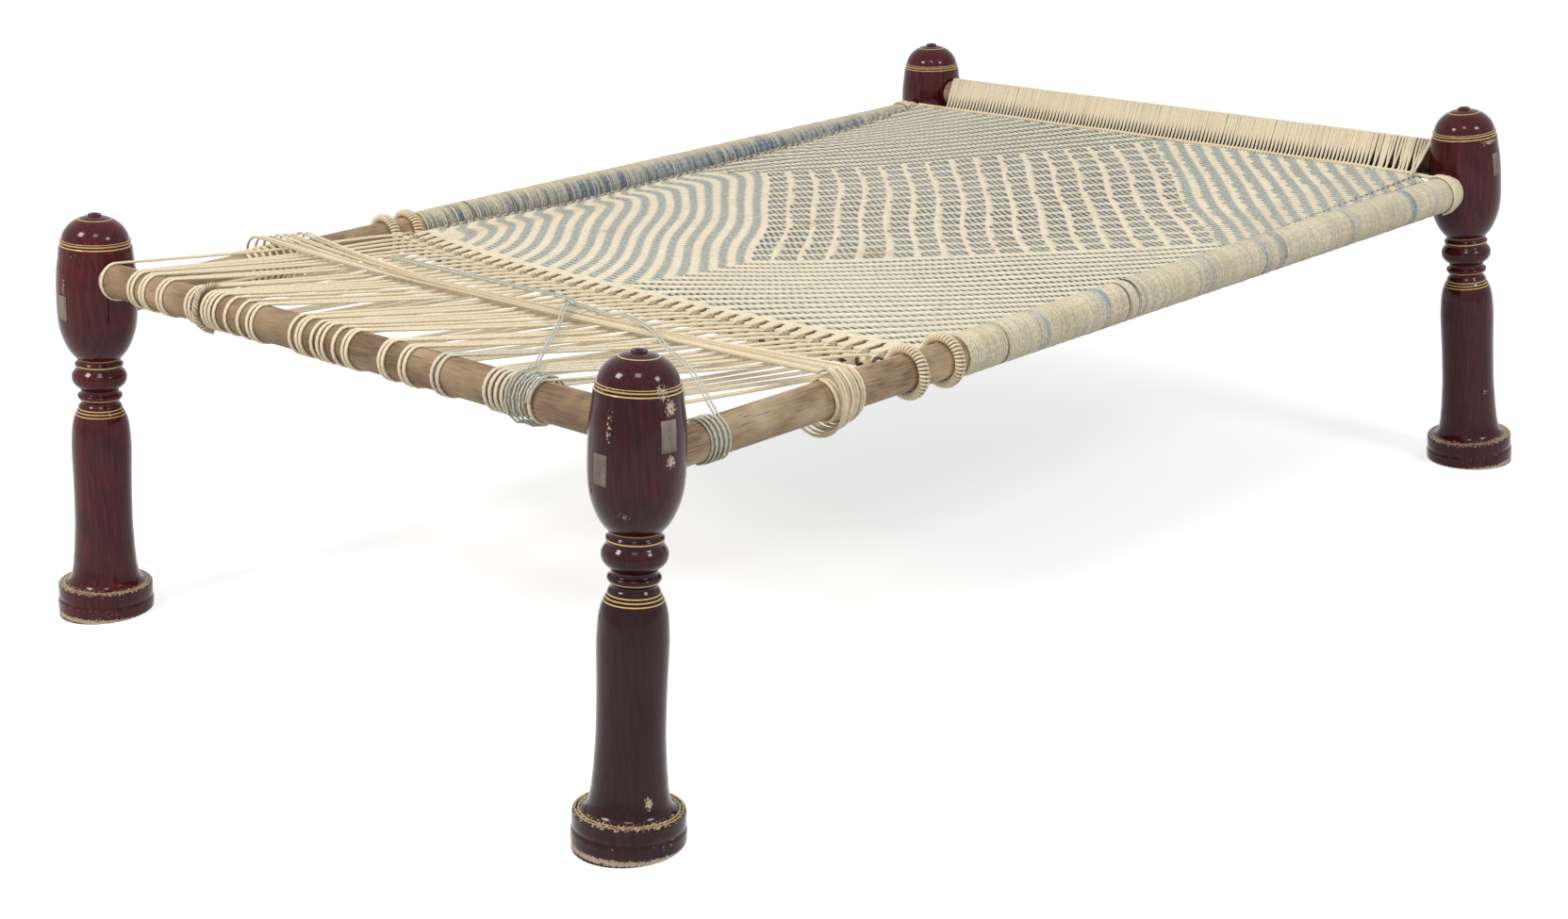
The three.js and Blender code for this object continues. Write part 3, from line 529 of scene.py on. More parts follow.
def rail_rings(start, end, seed):
    """Round pole between two points: radius times 1 + a few long waves along and round it, under 1.5%."""
    rng = np.random.default_rng(seed)
    start, end = np.array(start, float), np.array(end, float)
    length = np.linalg.norm(end - start)
    share = np.linspace(0, 1, int(length / RING_STEP) + 1)
    path = start + (end - start) * share[:, None]
    rings = cord_rings(path, RAIL_R, RAIL_SIDES)
    angle = 2 * math.pi * np.arange(RAIL_SIDES) / RAIL_SIDES
    waves = sum(rng.uniform(0.001, 0.003) * np.sin(k * angle + rng.uniform(0, 6)
                                                   + rng.uniform(4, 16) * share[:, None]) for k in (1, 2, 3, 4))
    rings = path[:, None] + (rings - path[:, None]) * (1 + waves[..., None])
    return rings, share * length + 3000 * seed


# the round part of a rail ends inside the leg, this far from the leg's axis
INSIDE = 30.0
side_x, end_y = HALF_LENGTH - INSIDE, HALF_WIDTH - INSIDE
rails = {"side_rail_near": ((-side_x, -HALF_WIDTH, SIDE_Z), (side_x, -HALF_WIDTH, SIDE_Z)),
         "side_rail_far": ((-side_x, HALF_WIDTH, SIDE_Z), (side_x, HALF_WIDTH, SIDE_Z)),
         "foot_rail": ((-HALF_LENGTH, end_y, END_Z), (-HALF_LENGTH, -end_y, END_Z)),
         "head_rail": ((HALF_LENGTH, end_y, END_Z), (HALF_LENGTH, -end_y, END_Z))}
for seed, (rail, (start, end)) in enumerate(rails.items(), 1):
    wood = shaded_foot_wood if rail == "foot_rail" else rail_wood
    ring_mesh(f"{rail}_pole", [(*rail_rings(start, end, seed), {})], wood, rail)

# %% [markdown]
# The tenon's end is cut flush with the barrel. Each is a small patch of the barrel's own surface, a hair proud
# of it, with a slightly wider patch of painted shade under it for the gap of the mortise.

# %% Tenon ends


def patch_rings(leg, facing, height, half_width, half_height, lift, count=7):
    """Closed skin over a rectangle of the barrel: across w and up h, at direction facing + asin(w / radius)."""
    w = np.linspace(-half_width, half_width, count)
    h = np.linspace(-half_height, half_height, count)
    lean = LEGS[leg][2]
    shift = -(height - SIDE_Z) * (lean[1] * math.cos(facing) - lean[0] * math.sin(facing))
    radius = leg_radius(height + h)[:, None]
    angle = facing + np.arcsin((w + shift) / radius)
    outer = on_leg(leg, angle, (height + h)[:, None], radius + lift)
    inner = on_leg(leg, angle[:, ::-1], (height + h)[:, None], radius - 3)
    return np.concatenate([outer, inner], axis=1)


# half the tenon's width and height, and how much wider the gap's patch of painted shade is
TENON_HALVES, MORTISE_GAP = np.array([10.5, 18]), 0.8
ends, gaps = [], []
up = np.linspace(0, 2 * TENON_HALVES[1], 7)
for leg, (along, across, _, _) in LEGS.items():
    for facing, height in ((0 if along > 0 else math.pi, SIDE_Z), (across * math.pi / 2, END_Z)):
        ends.append((patch_rings(leg, facing, height, *TENON_HALVES, 0.35), up + 50 * len(ends), {}))
        gaps.append((patch_rings(leg, facing, height, *(TENON_HALVES + MORTISE_GAP), 0.12), up, {}))
mortise_shade, add = new_finish("painted_shade_mortise_gap")
speck = add("TexNoise", {"Scale": 300.0})
colour = add("Mix", {0: speck, 6: "#150b0a", 7: "#2a1814"}, data_type="RGBA")
add("OutputMaterial", {0: add("BsdfPrincipled", {"Base Color": colour, "Roughness": 0.9})})
ring_mesh("tenon_ends", ends, end_wood)
ring_mesh("mortise_gaps_painted_shade", gaps, mortise_shade)

# %% [markdown]
# ## Cotton cord
# All the cord is hand-laid cotton twine of two plies, undyed cream or dyed with indigo and faded to blue grey.
# Two plies give slanting grooves, and loose fibre gives soft mottling and no shine.
# The finish reads three values from the mesh: how blue, how much painted shade darkens it where it lies between
# or under other cords, and how stained.

# %% Twine
# from groove to groove along the cord
LAY = 9.0


def twine(name, pale, mid, blue_pale, blue_deep, painted_shade_colour, ply_depth):
    """Ply grooves are sin(2 pi (2 u + v / lay)) on the cord's own UV: u once round, v along in metres."""
    material, add = new_finish(name)
    own = add("SeparateXYZ", {0: add("UVMap", uv_map="UVMap")}).outputs
    along = add("Math", {0: own[1], 1: MM / LAY}, operation="MULTIPLY")
    turns = add("Math", {0: own[0], 1: 2.0, 2: along}, operation="MULTIPLY_ADD")
    angle = add("Math", {0: turns, 1: 2 * math.pi}, operation="MULTIPLY")
    ply = add("Math", {0: angle}, operation="SINE")
    spot = add("TexCoord").outputs["Object"]
    # loose fibre about 2 mm across, and dirt in clouds of some 70 mm
    fibre = add("TexNoise", {"Vector": spot, "Scale": 420.0, "Detail": 3.0})
    cloud = add("TexNoise", {"Vector": spot, "Scale": 14.0, "Detail": 4.0})
    mottle = add("MapRange", {"Value": fibre, "From Min": 0.3, "From Max": 0.7})
    grime = add("MapRange", {"Value": cloud, "From Min": 0.38, "From Max": 0.75, "To Max": 0.5})
    blue, shade, stain = (add("Attribute", attribute_name=mark).outputs["Fac"]
                          for mark in ("blue", "shade", "stain"))
    cream = add("Mix", {0: mottle, 6: mid, 7: pale}, data_type="RGBA")
    cream = add("Mix", {0: grime, 6: cream, 7: mid}, data_type="RGBA")
    marl = add("Math", {0: ply, 1: 0.2, 2: mottle}, operation="MULTIPLY_ADD")
    indigo = add("Mix", {0: marl, 6: blue_deep, 7: blue_pale}, data_type="RGBA")
    colour = add("Mix", {0: blue, 6: cream, 7: indigo}, data_type="RGBA")
    # painted shade: the shade mark mixes the colour towards a dark brown or navy
    colour = add("Mix", {0: shade, 6: colour, 7: painted_shade_colour}, data_type="RGBA")
    colour = add("Mix", {0: stain, 6: colour, 7: "#a87c50"}, data_type="RGBA")
    height = add("Math", {0: ply, 1: 0.5, 2: mottle}, operation="MULTIPLY_ADD")
    bulge = add("Bump", {"Height": height, "Strength": ply_depth, "Distance": 0.0009})
    shader = add("BsdfPrincipled", {"Base Color": colour, "Roughness": 0.88, "Normal": bulge, "IOR": 1.45,
                                    "Sheen Weight": 0.15, "Sheen Roughness": 0.5})
    add("OutputMaterial", {0: shader})
    return material


# undyed pale and mid, dyed pale and deep, and the colour of painted shade between cords
cream_twine = twine("laid_cotton_twine_undyed",
                    "#f3e6ca", "#dfcda9", "#c3cac2", "#6e8796", "#3c2614", 0.3)
bed_twine = twine("laid_cotton_twine_undyed_and_indigo",
                  "#f4e9cf", "#dfd2b3", "#c1c8bb", "#6a8289", "#24333e", 0.3)
wrap_twine = twine("wound_cotton_twine_faded",
                   "#ece2c8", "#c3b693", "#a3b0b4", "#3c5c7c", "#37352f", 0.45)
tie_twine = twine("marled_indigo_twine",
                  "#e2e2d0", "#b9bfae", "#a3b3b0", "#43606c", "#2a2f2c", 0.5)

# %% [markdown]
# ## Foot border and foot rope
# At the foot the weave ends on a border cord, and a thicker rope runs beside it. Both hang between rings on the
# side rails, so both sweep towards the foot as they near the sides. Each is a curve of the distance across,
# straight in the middle and bent by its cube near the ends.

# %% Curves of the border and the rope
ROPE_LEVEL = 455.0
ROPE_END = 520.2
BORDER_R = 3.25
# the head border lies this far from the head rail's axis, and this much lower
HEAD_REACH, HEAD_DROP = 88.0, 12.5
HEAD_BORDER_X = HALF_LENGTH - HEAD_REACH
HEAD_BORDER_Z = END_Z - HEAD_DROP
# the bed cord, and the room between a cord and the pole that it is wound on
BED_CORD_R, CLEAR = 2.25, 0.3
WRAP_R = RAIL_R + CLEAR + BED_CORD_R
SIDES = (("near", -1), ("far", 1))


def swept(across, middle, far_end, near_end):
    end = np.where(across > 0, far_end, near_end)
    return middle + (end - middle) * np.abs(across / ROPE_END) ** 3


def border_x(across):
    return swept(across, -398.5, -342.5, -372.5)


def rope_x(across):
    return swept(across, -443.5, -385.5, -439.5)


def twined(path, strand, lay, strands, spread):
    """Strands that wind round a path: path + spread * strand * (cos t * up + sin t * across), with
    t = 2 pi s / lay, where s is the length so far, and nine points to a lay."""
    path = smooth_path(path, lay / 9)
    along = run_length(path)
    direction = unit(np.gradient(path, axis=0))
    across = unit(np.cross((0, 0, 1), direction))
    up = np.cross(direction, across)
    result = []
    for k in range(strands):
        t = (2 * math.pi * (along / lay + k / strands))[:, None]
        result.append(path + spread * strand * (np.cos(t) * up + np.sin(t) * across))
    return result


def add_cords(name, paths, radius, material, *replaces, reference=(0, 0, 1), marks=lambda i: {}):
    """Cords of one radius as one mesh. Each cord's marks come from its number."""
    tubes = [cord(path, radius, 6, reference, 7.3 * i, **marks(i)) for i, path in enumerate(paths)]
    ring_mesh(name, tubes, material, *replaces)


across = np.linspace(ROPE_END, -ROPE_END, 60)
border_path, rope_path = (np.stack([edge_x(across), across, np.full(60, ROPE_LEVEL)], -1)
                          for edge_x in (border_x, rope_x))
add_cords("foot_border_twine", twined(border_path, 1.8, 18, 3, 1.05), 1.9, cream_twine, "foot_border")
add_cords("foot_rope_laid", twined(rope_path, 2.6, 34, 3, 0.95), 2.6, cream_twine, "foot_rope")

# %% [markdown]
# ## The weave
# Cords run both ways on the slant, each over and under groups of the others. In the middle diamond, cream
# groups cross and leave squares of blue; in each corner one direction lies on top in cream bands with blue
# bands between. So the weave is one lattice: at every crossing a rule says which cord is on top and what
# colour it shows. The crossings are pulled about a little, as the real ones are by the borders.

# %% Lattice of crossings
PITCH = 4.23
# the cords run at half a right angle, drawn out a little along the bed; counts start in the diamond's middle
SLANT = 0.7071
STRETCH_X, STRETCH_Y = 1.02, 0.975
DIAMOND = (320.0, 5.0)
BED_FOOT_GAP = 3.75
BED_HEAD_X = HEAD_BORDER_X - 3.2


def share_into(value, start, end, most=1.0):
    """0 before start, rising evenly to 1 at end, and on to most."""
    return np.clip((value - start) / (end - start), 0, most)


def bed_z(x, y):
    """Level at the foot border, rising as the square of the share along to the head border, less the hang."""
    start = border_x(y) + BED_FOOT_GAP
    share = np.clip((x - start) / (BED_HEAD_X - start), 0, 1)
    hang = 9 * np.sin(math.pi * share) * (1 - (y / HALF_WIDTH) ** 2)
    hang = hang + 9 * share_into(y, 380, 520) * share_into(x, -250, -60) * share_into(x, 790, 640)
    return ROPE_LEVEL + (HEAD_BORDER_Z - ROPE_LEVEL) * share ** 2 - hang


# how the counts bend, as a cubic in u and v, found from the directions of the bands and rows in the photograph
BEND_T = {(0, 1): -6.5, (0, 2): 7.7, (0, 3): 26.6, (1, 0): -16.1, (1, 1): 17.6, (1, 2): 37.6, (2, 0): 8.2,
          (2, 1): 25.4}
BEND_S = {(0, 1): -6.7, (0, 2): 25.6, (0, 3): -0.4, (1, 0): -19.1, (1, 1): -11.2, (1, 2): 28.3, (2, 0): -24.9,
          (2, 1): -34.7, (3, 0): 2.7}


def pull(x, y):
    """How far the weave's own counts run ahead of straight ones at a place: for the cords that run /, and for
    those that run \\. To the cubic come the bends at the borders, squares of the share of the way into them."""
    u, v = np.clip((x - DIAMOND[0]) / 470, -1.45, 1.0), np.clip((y - DIAMOND[1]) / 450, -0.98, 1.05)
    for_t = sum(amount * u ** i * v ** j for (i, j), amount in BEND_T.items())
    for_s = sum(amount * u ** i * v ** j for (i, j), amount in BEND_S.items())
    by_foot = share_into(x, -290, -372, 1.2) ** 2
    for_t = for_t + 8 * by_foot * share_into(y, -10, 50)
    for_s = for_s + 9 * by_foot * share_into(y, 5, -35)
    depth = 40 + 45 * share_into(x, 0, 250) * share_into(x, 560, 400)
    for_t = for_t + 0.32 * depth * share_into(y, 470 - depth, 470, 1.35) ** 2 * share_into(x, 780, 600)
    fan = (-42 + 57 * share_into(x, 440, 700)) * share_into(x, 250, 380)
    for_s = for_s + fan * share_into(y, 250, 490) ** 2
    foot_waves = 1 - 0.5 * share_into(x, -50, 250)
    ripple = foot_waves * (4.2 * np.sin((x + 175) / 44 + y / 400) + 1.3 * np.sin(x / 83 - y / 39 + 1))
    return for_t + ripple, for_s + 0.5 * ripple


s_count = np.arange(-226, 226)
t_count = np.arange(-226, 226)
s_line, t_line = np.meshgrid(s_count * PITCH, t_count * PITCH, indexing="xy")
straight_x = (s_line + t_line) * SLANT * STRETCH_X + DIAMOND[0]
straight_y = (s_line - t_line) * SLANT * STRETCH_Y + DIAMOND[1]
x, y = straight_x, straight_y
for _ in range(14):
    for_t, for_s = pull(x, y)
    x = 0.3 * x + 0.7 * (straight_x - (for_s + for_t) * SLANT)
    y = 0.3 * y + 0.7 * (straight_y - (for_s - for_t) * SLANT)
print("crossings:", x.size, "reach", x.min().round(), x.max().round())

# %% Which cord is on top
rng = np.random.default_rng(11)
fleck = rng.random(x.shape)
ragged = np.repeat(rng.random((len(t_count), len(s_count) // 3 + 1)), 3, axis=1)[:, :len(s_count)]
# i_t counts the cords that run /, i_s those that run \; the diamond lies between these counts
DIAMOND_T, DIAMOND_S = (-69, 78), (-82, 60)
i_t, i_s = np.meshgrid(t_count, s_count, indexing="ij")
t6, s6 = i_t % 6, i_s % 6
t9, s9 = i_t % 9, (i_s + 1) % 9
foot_edge = border_x(y) + BED_FOOT_GAP
from_foot = x - foot_edge
worked = from_foot > 21
out_t = np.maximum(DIAMOND_T[0] - i_t, i_t - DIAMOND_T[1])
out_s = np.maximum(DIAMOND_S[0] - i_s, i_s - DIAMOND_S[1])
in_diamond = np.maximum(out_t, out_s) <= 0
banded = ~in_diamond & (out_t > out_s)
rowed = ~in_diamond & ~banded
# in a row of ticks the / cords float over three of the others, and every second one is dark; a block of the
# diamond is two such rows. Beyond the diamond, towards the head, the rows of ticks are wider
head_rows = rowed & (i_s > 0)
row_ticks = rowed & (s6 >= np.where(head_rows, 2, 3))
block_ticks = in_diamond & (s9 >= 2) & (t9 >= 2 + (ragged > 0.4))
ticked = worked & (row_ticks | block_ticks)
lower_row = in_diamond & (s9 < 6)
print("share with the / cord on top:", ticked.mean().round(3))

# %% Colour of what shows at each crossing
fade = 0.8 + 0.2 * np.sin(x / 130 + 2) * np.sin(y / 95) - 0.3 * share_into(x, -50, -250) * rowed
blue = np.zeros(x.shape)
shade = np.zeros(x.shape)
# a dark tick is deep indigo cord darkened further with painted shade, and near the foot with more painted shade
dark_tick = ticked & ((i_t + lower_row) % 2 == 0)
pale_tick = ticked & ~dark_tick
blue[dark_tick] = 1.0
shade[dark_tick] = (np.where(in_diamond | head_rows, 0.85, 0.95) * fade)[dark_tick]
blue[pale_tick] = np.where(in_diamond, 0.4, 0.5)[pale_tick]
shade[pale_tick] = 0.04
big_tick = dark_tick & (from_foot < 60)
shade[big_tick] = 0.8
# a blue band, with its edges moved by one cord here and there, and short strokes that lean across it
in_band = worked & banded & ((t6 >= 3) | ((t6 == 2) & (ragged < 0.4) & (i_t > 0)))
stroke = (i_s + i_t) % 3
blue[in_band] = np.choose(stroke, [1.0, 0.45, 0.85])[in_band]
shade[in_band] = np.choose(stroke, [0.5, 0.0, 0.12])[in_band]
# between the bands and ticks the cream cords cast a little shade on each other
plain_cream = ~ticked & ~in_band
shade[plain_cream] = (0.1 * (i_s % 3 == 0) + 0.16 * ragged * fleck)[plain_cream]
blue[plain_cream & in_diamond & (t9 >= 2)] = 0.12
near_ticks = worked & banded & ~in_band & (y < -425) & (i_s % 3 == 0)
shade[near_ticks] = 0.4
shade = np.clip(shade * (0.75 + 0.5 * fleck), 0, 1)
blue = np.clip(blue * (0.85 + 0.3 * rng.random(x.shape)), 0, 1)
print("share that shows blue:", (blue > 0.3).mean().round(3))

# %% Stains, and the edge of the weave
# old marks on the bed: place, size, amount
STAINS = [(-159, 298, 13, 0.4), (72, 90, 15, 0.45), (-10, -120, 18, 0.4), (-25, -105, 24, 0.2),
          (300, 60, 12, 0.25), (430, -40, 10, 0.2), (150, -230, 14, 0.2), (-220, -180, 18, 0.15)]
stain = sum(amount * np.exp(-((x - sx) ** 2 + (y - sy) ** 2) / size ** 2) for sx, sy, size, amount in STAINS)
rusty = np.exp(-((y - 458) / 13) ** 2) * share_into(x, 40, -40) * banded * (0.5 + 0.5 * np.sin(x / 21) ** 2)
stain = np.clip(stain * (0.5 + fleck) + 0.3 * rusty, 0, 1)
slack = PITCH * 1.5
far_out, lattice_y = np.abs(y), y
inside = (x > foot_edge - slack) & (x < BED_HEAD_X + slack) & (far_out < ROPE_END + slack)
x = np.clip(x, foot_edge, BED_HEAD_X)
y = np.clip(y, -ROPE_END, ROPE_END)
level = bed_z(x, y)

# %% Where the weave turns down over its sides
# towards the head the bed lies above the rails, and its cords go on over the edge and down on the wound rail
WRAP_TOP_R = RAIL_R + 6.9
EDGE_END = ROPE_END + 6.8
skirt_end = np.clip(EDGE_END + 0.45 * (level - 459), EDGE_END, EDGE_END + 9)
skirt_share = np.clip((far_out - ROPE_END + 2) / (skirt_end - ROPE_END + 2), 0, 1)
end_level = SIDE_Z + np.sqrt(WRAP_TOP_R ** 2 - (HALF_WIDTH - skirt_end) ** 2)
skirt_y = np.sign(lattice_y) * np.clip(far_out, ROPE_END - 2, skirt_end)
skirt_level = level + 0.4 + (end_level - level - 0.4) * skirt_share
skirt_inside = (x > np.where(lattice_y > 0, 700, 330)) & (x < BED_HEAD_X - 1)
skirt_inside &= (far_out > ROPE_END - 3) & (far_out < skirt_end + slack)
print("crossings in the bed and over its edge:", inside.sum(), skirt_inside.sum())

# %% The cords of both directions
# a cord rises and sinks by the wave, and a tick leans by this much for each cord from the middle of its row
# where a cord runs under others it is coloured darker by at least UNDER_SHADE: painted shade
WAVE, TICK_LEAN, UNDER_SHADE = 1.0, 2.6, 0.6
row_middle = np.where(in_diamond, np.where(s9 < 6, 3.5, 7), np.where(head_rows, 3.5, 4))
lean = np.where(ticked, -TICK_LEAN * SLANT * (np.where(in_diamond, s9, s6) - row_middle), 0.0)


def weave_tubes(on_top, axis, y, level, inside):
    """All cords of one direction: a path for each unbroken run of crossings inside the edge, at the bed's level
    plus a wave where the cord is on top, less as much where it is under. A tick leans across its row."""
    lift = np.where(on_top, 1.0, -1.0)
    lift = (np.roll(lift, 1, axis) + 4 * lift + np.roll(lift, -1, axis)) / 6
    points = np.stack([x + lean * axis, y - lean * axis, level + lift * WAVE], -1)
    values = np.stack([blue, np.maximum(shade, np.where(on_top, 0.0, UNDER_SHADE)), stain], -1)
    if axis == 0:
        points, values, inside = points.swapaxes(0, 1), values.swapaxes(0, 1), inside.T
    tubes = []
    for row, (path, marks, kept) in enumerate(zip(points, values, inside)):
        places = np.flatnonzero(kept)
        if len(places) < 4:
            continue
        run = slice(places[0], places[-1] + 1)
        tubes.append((cord_rings(path[run], BED_CORD_R, 4, flat=0.8), run_length(path[run]) + 7.3 * row,
                      cord_marks(path[run], *marks[run].T)))
    return tubes


PARTS = 4
for name, on_top, axis in (("weave_slant", ticked, 1), ("weave_cross", ~ticked, 0)):
    tubes = weave_tubes(on_top, axis, y, level, inside)
    # the cords of one direction are a few meshes, split where their rings add up to equal shares; the
    # cords of one direction are a few meshes, each well under the limit of triangles for one piece
    sizes = np.cumsum([len(rings) for rings, _, _ in tubes])
    part = (sizes * PARTS / (sizes[-1] + 1)).astype(int)
    for k in range(PARTS):
        group = [tube for tube, p in zip(tubes, part) if p == k]
        ring_mesh(f"{name}_{k + 1}", group, bed_twine, *(["woven_bed"] if axis and k == 0 else []))
for label, side in SIDES:
    here = skirt_inside & (lattice_y * side > 0)
    skirt = [tube for on_top, axis in ((ticked, 1), (~ticked, 0))
             for tube in weave_tubes(on_top, axis, skirt_y, skirt_level, here)]
    ring_mesh(f"weave_over_edge_{label}", skirt, bed_twine)

# %% [markdown]
# ## Wound side rails
# The cord of the weave is wound round each side rail, turn beside turn, so both rails look like long bobbins.
# Each is one cord on a coil: angle grows evenly while the place along the rail advances by one cord for each
# turn. The turns vary in dye, so the colour changes from turn to turn.

# %% Turns on the side rails
WRAP_PITCH = 4.5
WRAP_END = HALF_LENGTH - 53


def round_rail(x, y, out, angle):
    """Points round a side rail, out from its axis: x, y + out * cos(angle), its level + out * sin(angle)."""
    return np.stack(np.broadcast_arrays(x, y + out * np.cos(angle), SIDE_Z + out * np.sin(angle)), -1)


def between(values, at):
    """The values stand at 0, 1, 2 and so on, and change evenly in between."""
    return np.interp(at, np.arange(len(values)), values)


def wound_path(start, y, seed):
    """x = start + pitch * turn, with y and z on a circle round the rail. Turns stray and swell a little."""
    turns = (WRAP_END - start) / WRAP_PITCH
    turn = np.linspace(0, turns, int(turns * 20) + 1)
    stray = np.random.default_rng(seed).normal(0, 1, int(turns) + 2)
    along = start + WRAP_PITCH * turn + 0.5 * between(stray[::-1], turn)
    return round_rail(along, y, WRAP_R + 0.25 * between(stray, turn), -2 * math.pi * turn)


def add_wrap(name, start, y, seed, node, blue_places, painted_gap_places, dyed_inside):
    """Dye changes along the cord every 40 to 60 mm, so from turn to turn it makes short streaks. Whole blue turns
    come at a few places, thin gaps of painted shade at others, and the side towards the bed may have kept its
    indigo."""
    path = wound_path(start, y, seed)
    length = run_length(path)
    rng = np.random.default_rng(seed + 40)
    streaks, stroke = (between(rng.random(int(length[-1] / every) + 2), length / every) for every in (60, 40))
    tone = 0.03 + (0.4 - 0.15 * dyed_inside) * share_into(streaks, 0.6, 1.0)
    for place in blue_places:
        tone = tone + 0.6 * np.exp(-((path[:, 0] - place) / 9) ** 2) * (0.1 + 1.3 * stroke)
    inner = share_into((y - path[:, 1]) * np.sign(y) / WRAP_R, 0.2, 0.8)
    tone = tone + dyed_inside * inner * (0.25 + 0.9 * stroke) * (0.5 + 0.5 * share_into(path[:, 0], -300, 150))
    shade = 0.12 * (streaks < 0.3) + 0.3 * dyed_inside * inner * (stroke > 0.6)
    for place in painted_gap_places:
        shade = shade + 0.85 * np.exp(-((path[:, 0] - place) / 1.9) ** 2)
    dusty = 0.3 * dyed_inside * (1 - inner) * streaks
    marks = {"blue": np.clip(tone, 0, 1), "shade": np.clip(shade, 0, 1), "stain": dusty}
    ring_mesh(name, [cord(path, 2.3, 5, (1, 0, 0), **marks)], wrap_twine, node)


add_wrap("near_rail_turns", -349, -HALF_WIDTH, 5, "side_wrap_near", (-198, -68, 166, 300, 340, 528, 690),
         (-276, -21, 2), 0.0)
add_wrap("far_rail_turns", -324, HALF_WIDTH, 8, "side_wrap_far", (-260, 420), (-230, -144), 1.0)

# %% Twined borders along the sides


def side_edge(side, start, inset=0.0):
    """Along the weave's side edge, or inset from it on top of the weave."""
    xs = np.linspace(start, BED_HEAD_X, 80)
    ys = np.full(80, side * (ROPE_END - inset))
    return np.stack([xs, ys + side * 2.6, bed_z(xs, ys) + 1.0 + 1.6 * (inset > 0)], -1)


for side, label, start in ((-1, "near", -330), (1, "far", -309)):
    strands = twined(side_edge(side, start), 1.7, 15, 2, 1.0)
    if side > 0:
        strands += twined(side_edge(side, start + 3, 11), 1.2, 17, 2, 1.0)
    add_cords(f"side_border_{label}_twined", strands, 1.5, wrap_twine, f"side_border_{label}",
              marks=lambda i: {"blue": 0.15 + 0.75 * (i % 2), "shade": 0.12 + 0.4 * (i % 2), "stain": 0.18})

# %% [markdown]
# ## Head loops
# At the head the weave hangs from a border cord, and loops of cream cord carry that border on the head rail.
# Each loop is a drop seen from the side: round the rail, straight to the border, round it and straight back.
# Towards the border the loops draw together in small groups.

# %% Loops round the head rail
LOOP_END_R = BORDER_R + CLEAR + BED_CORD_R


def drop_outline():
    """Closed outline in x and z: the arc of the rail and the arc of the border, joined by their tangents."""
    opening = math.acos((WRAP_R - LOOP_END_R) / math.hypot(HEAD_REACH, HEAD_DROP))
    towards = math.pi + math.atan2(HEAD_DROP, HEAD_REACH)
    big = np.linspace(towards + opening, towards - opening + 2 * math.pi, 16)
    small = np.linspace(towards - opening, towards + opening, 6)
    rail_arc = (HALF_LENGTH, END_Z) + WRAP_R * np.stack([np.cos(big), np.sin(big)], -1)
    border_arc = (HEAD_BORDER_X, HEAD_BORDER_Z) + LOOP_END_R * np.stack([np.cos(small), np.sin(small)], -1)
    over = rail_arc[-1] + (border_arc[0] - rail_arc[-1]) * np.array([[0.3], [0.5], [0.7], [0.87]])
    back = border_arc[-1] + (rail_arc[0] - border_arc[-1]) * np.array([[0.1], [0.3], [0.6], [1.0]])
    return np.concatenate([rail_arc, over, border_arc, back])


outline_xz = drop_outline()
LOOPS = 268
share_in = np.clip((HALF_LENGTH - outline_xz[:, 0]) / HEAD_REACH, 0, 1)
under = outline_xz[:, 1] < END_Z - 13 * share_in
tight = np.where(under, share_into(share_in, 0.93, 1.0), share_into(share_in, 0.5, 0.85))
rng = np.random.default_rng(21)
rail_y = np.linspace(500, -491, LOOPS)
# near the leg the turns stand in groups, with bare rail between them
rail_y = rail_y + np.where(rail_y < -395, 5.0 * np.sin((rail_y + 395) / 6.4), 0)
slant = np.minimum(46 + rail_y / 55, rail_y + 515)
edge_y = rail_y - slant
pair_y = np.repeat((edge_y[::2] + edge_y[1::2]) / 2, 2)
tubes = []
for k in range(LOOPS):
    at_edge = pair_y[k] + (edge_y[k] - pair_y[k]) * 0.3
    loose = rng.normal(0, 0.5)
    ys = rail_y[k] + loose * (1 - share_in) + (edge_y[k] - rail_y[k]) * share_in + (at_edge - edge_y[k]) * tight
    path = np.stack([outline_xz[:, 0], ys + np.linspace(0, -2.2, len(outline_xz)), outline_xz[:, 1]], -1)
    radius = np.where(under, 2.3, 2.15 - 0.75 * tight)
    blue_tint = rng.choice([0.0, 0.0, 0.05, 0.15])
    # painted shade: the returns under the rail are coloured dark, and every second upper run a little darker
    # towards the border; a little random tone is added
    painted_shade_and_tone = np.where(under, 0.9, 0.06 * rng.random() + 0.1 * tight * (k % 2))
    tubes.append(cord(path, radius, 5, (0, 1, 0), 5.1 * k, blue=blue_tint, shade=painted_shade_and_tone))
ring_mesh("head_loops", tubes, cream_twine, "head_wrap")

# %% Twine of the head border, and its ties
ys = np.linspace(508, -514, 60)
# the border's twine rides up on the ends of the loops, where it shows as a cream line
head_path = np.stack([HEAD_BORDER_X - 3.4 + 1.2 * np.sin(ys / 37), ys, np.full(60, HEAD_BORDER_Z + 4.2)], -1)
add_cords("head_border_twined", twined(head_path, 1.6, 15, 2, 0.95), 1.65, cream_twine, "head_border")

# both ends of the border are made fast with a few turns round the wound side rails
tubes = []
for side, begin in ((-1, -512), (1, 506)):
    for turn_no, lead in enumerate((0, 5, 10)):
        angle = np.radians(np.linspace(62, 250, 14))
        out = WRAP_R + 4.6
        around = np.stack([HEAD_BORDER_X + 2 + lead + 4 * np.linspace(0, 1, 14),
                           side * (HALF_WIDTH - out * np.cos(angle)), SIDE_Z + out * np.sin(angle)], -1)
        start = [(HEAD_BORDER_X - 1 + 0.3 * lead, begin, HEAD_BORDER_Z + 1),
                 (HEAD_BORDER_X + 0.5 * lead, begin + side * 12, HEAD_BORDER_Z + 1.5)]
        path = smooth_path(np.concatenate([start, around]), 4)
        tubes.append(cord(path, 2.1, 6, (1, 0, 0.01), 6 * turn_no, shade=0.1))
ring_mesh("head_border_ties", tubes, cream_twine)

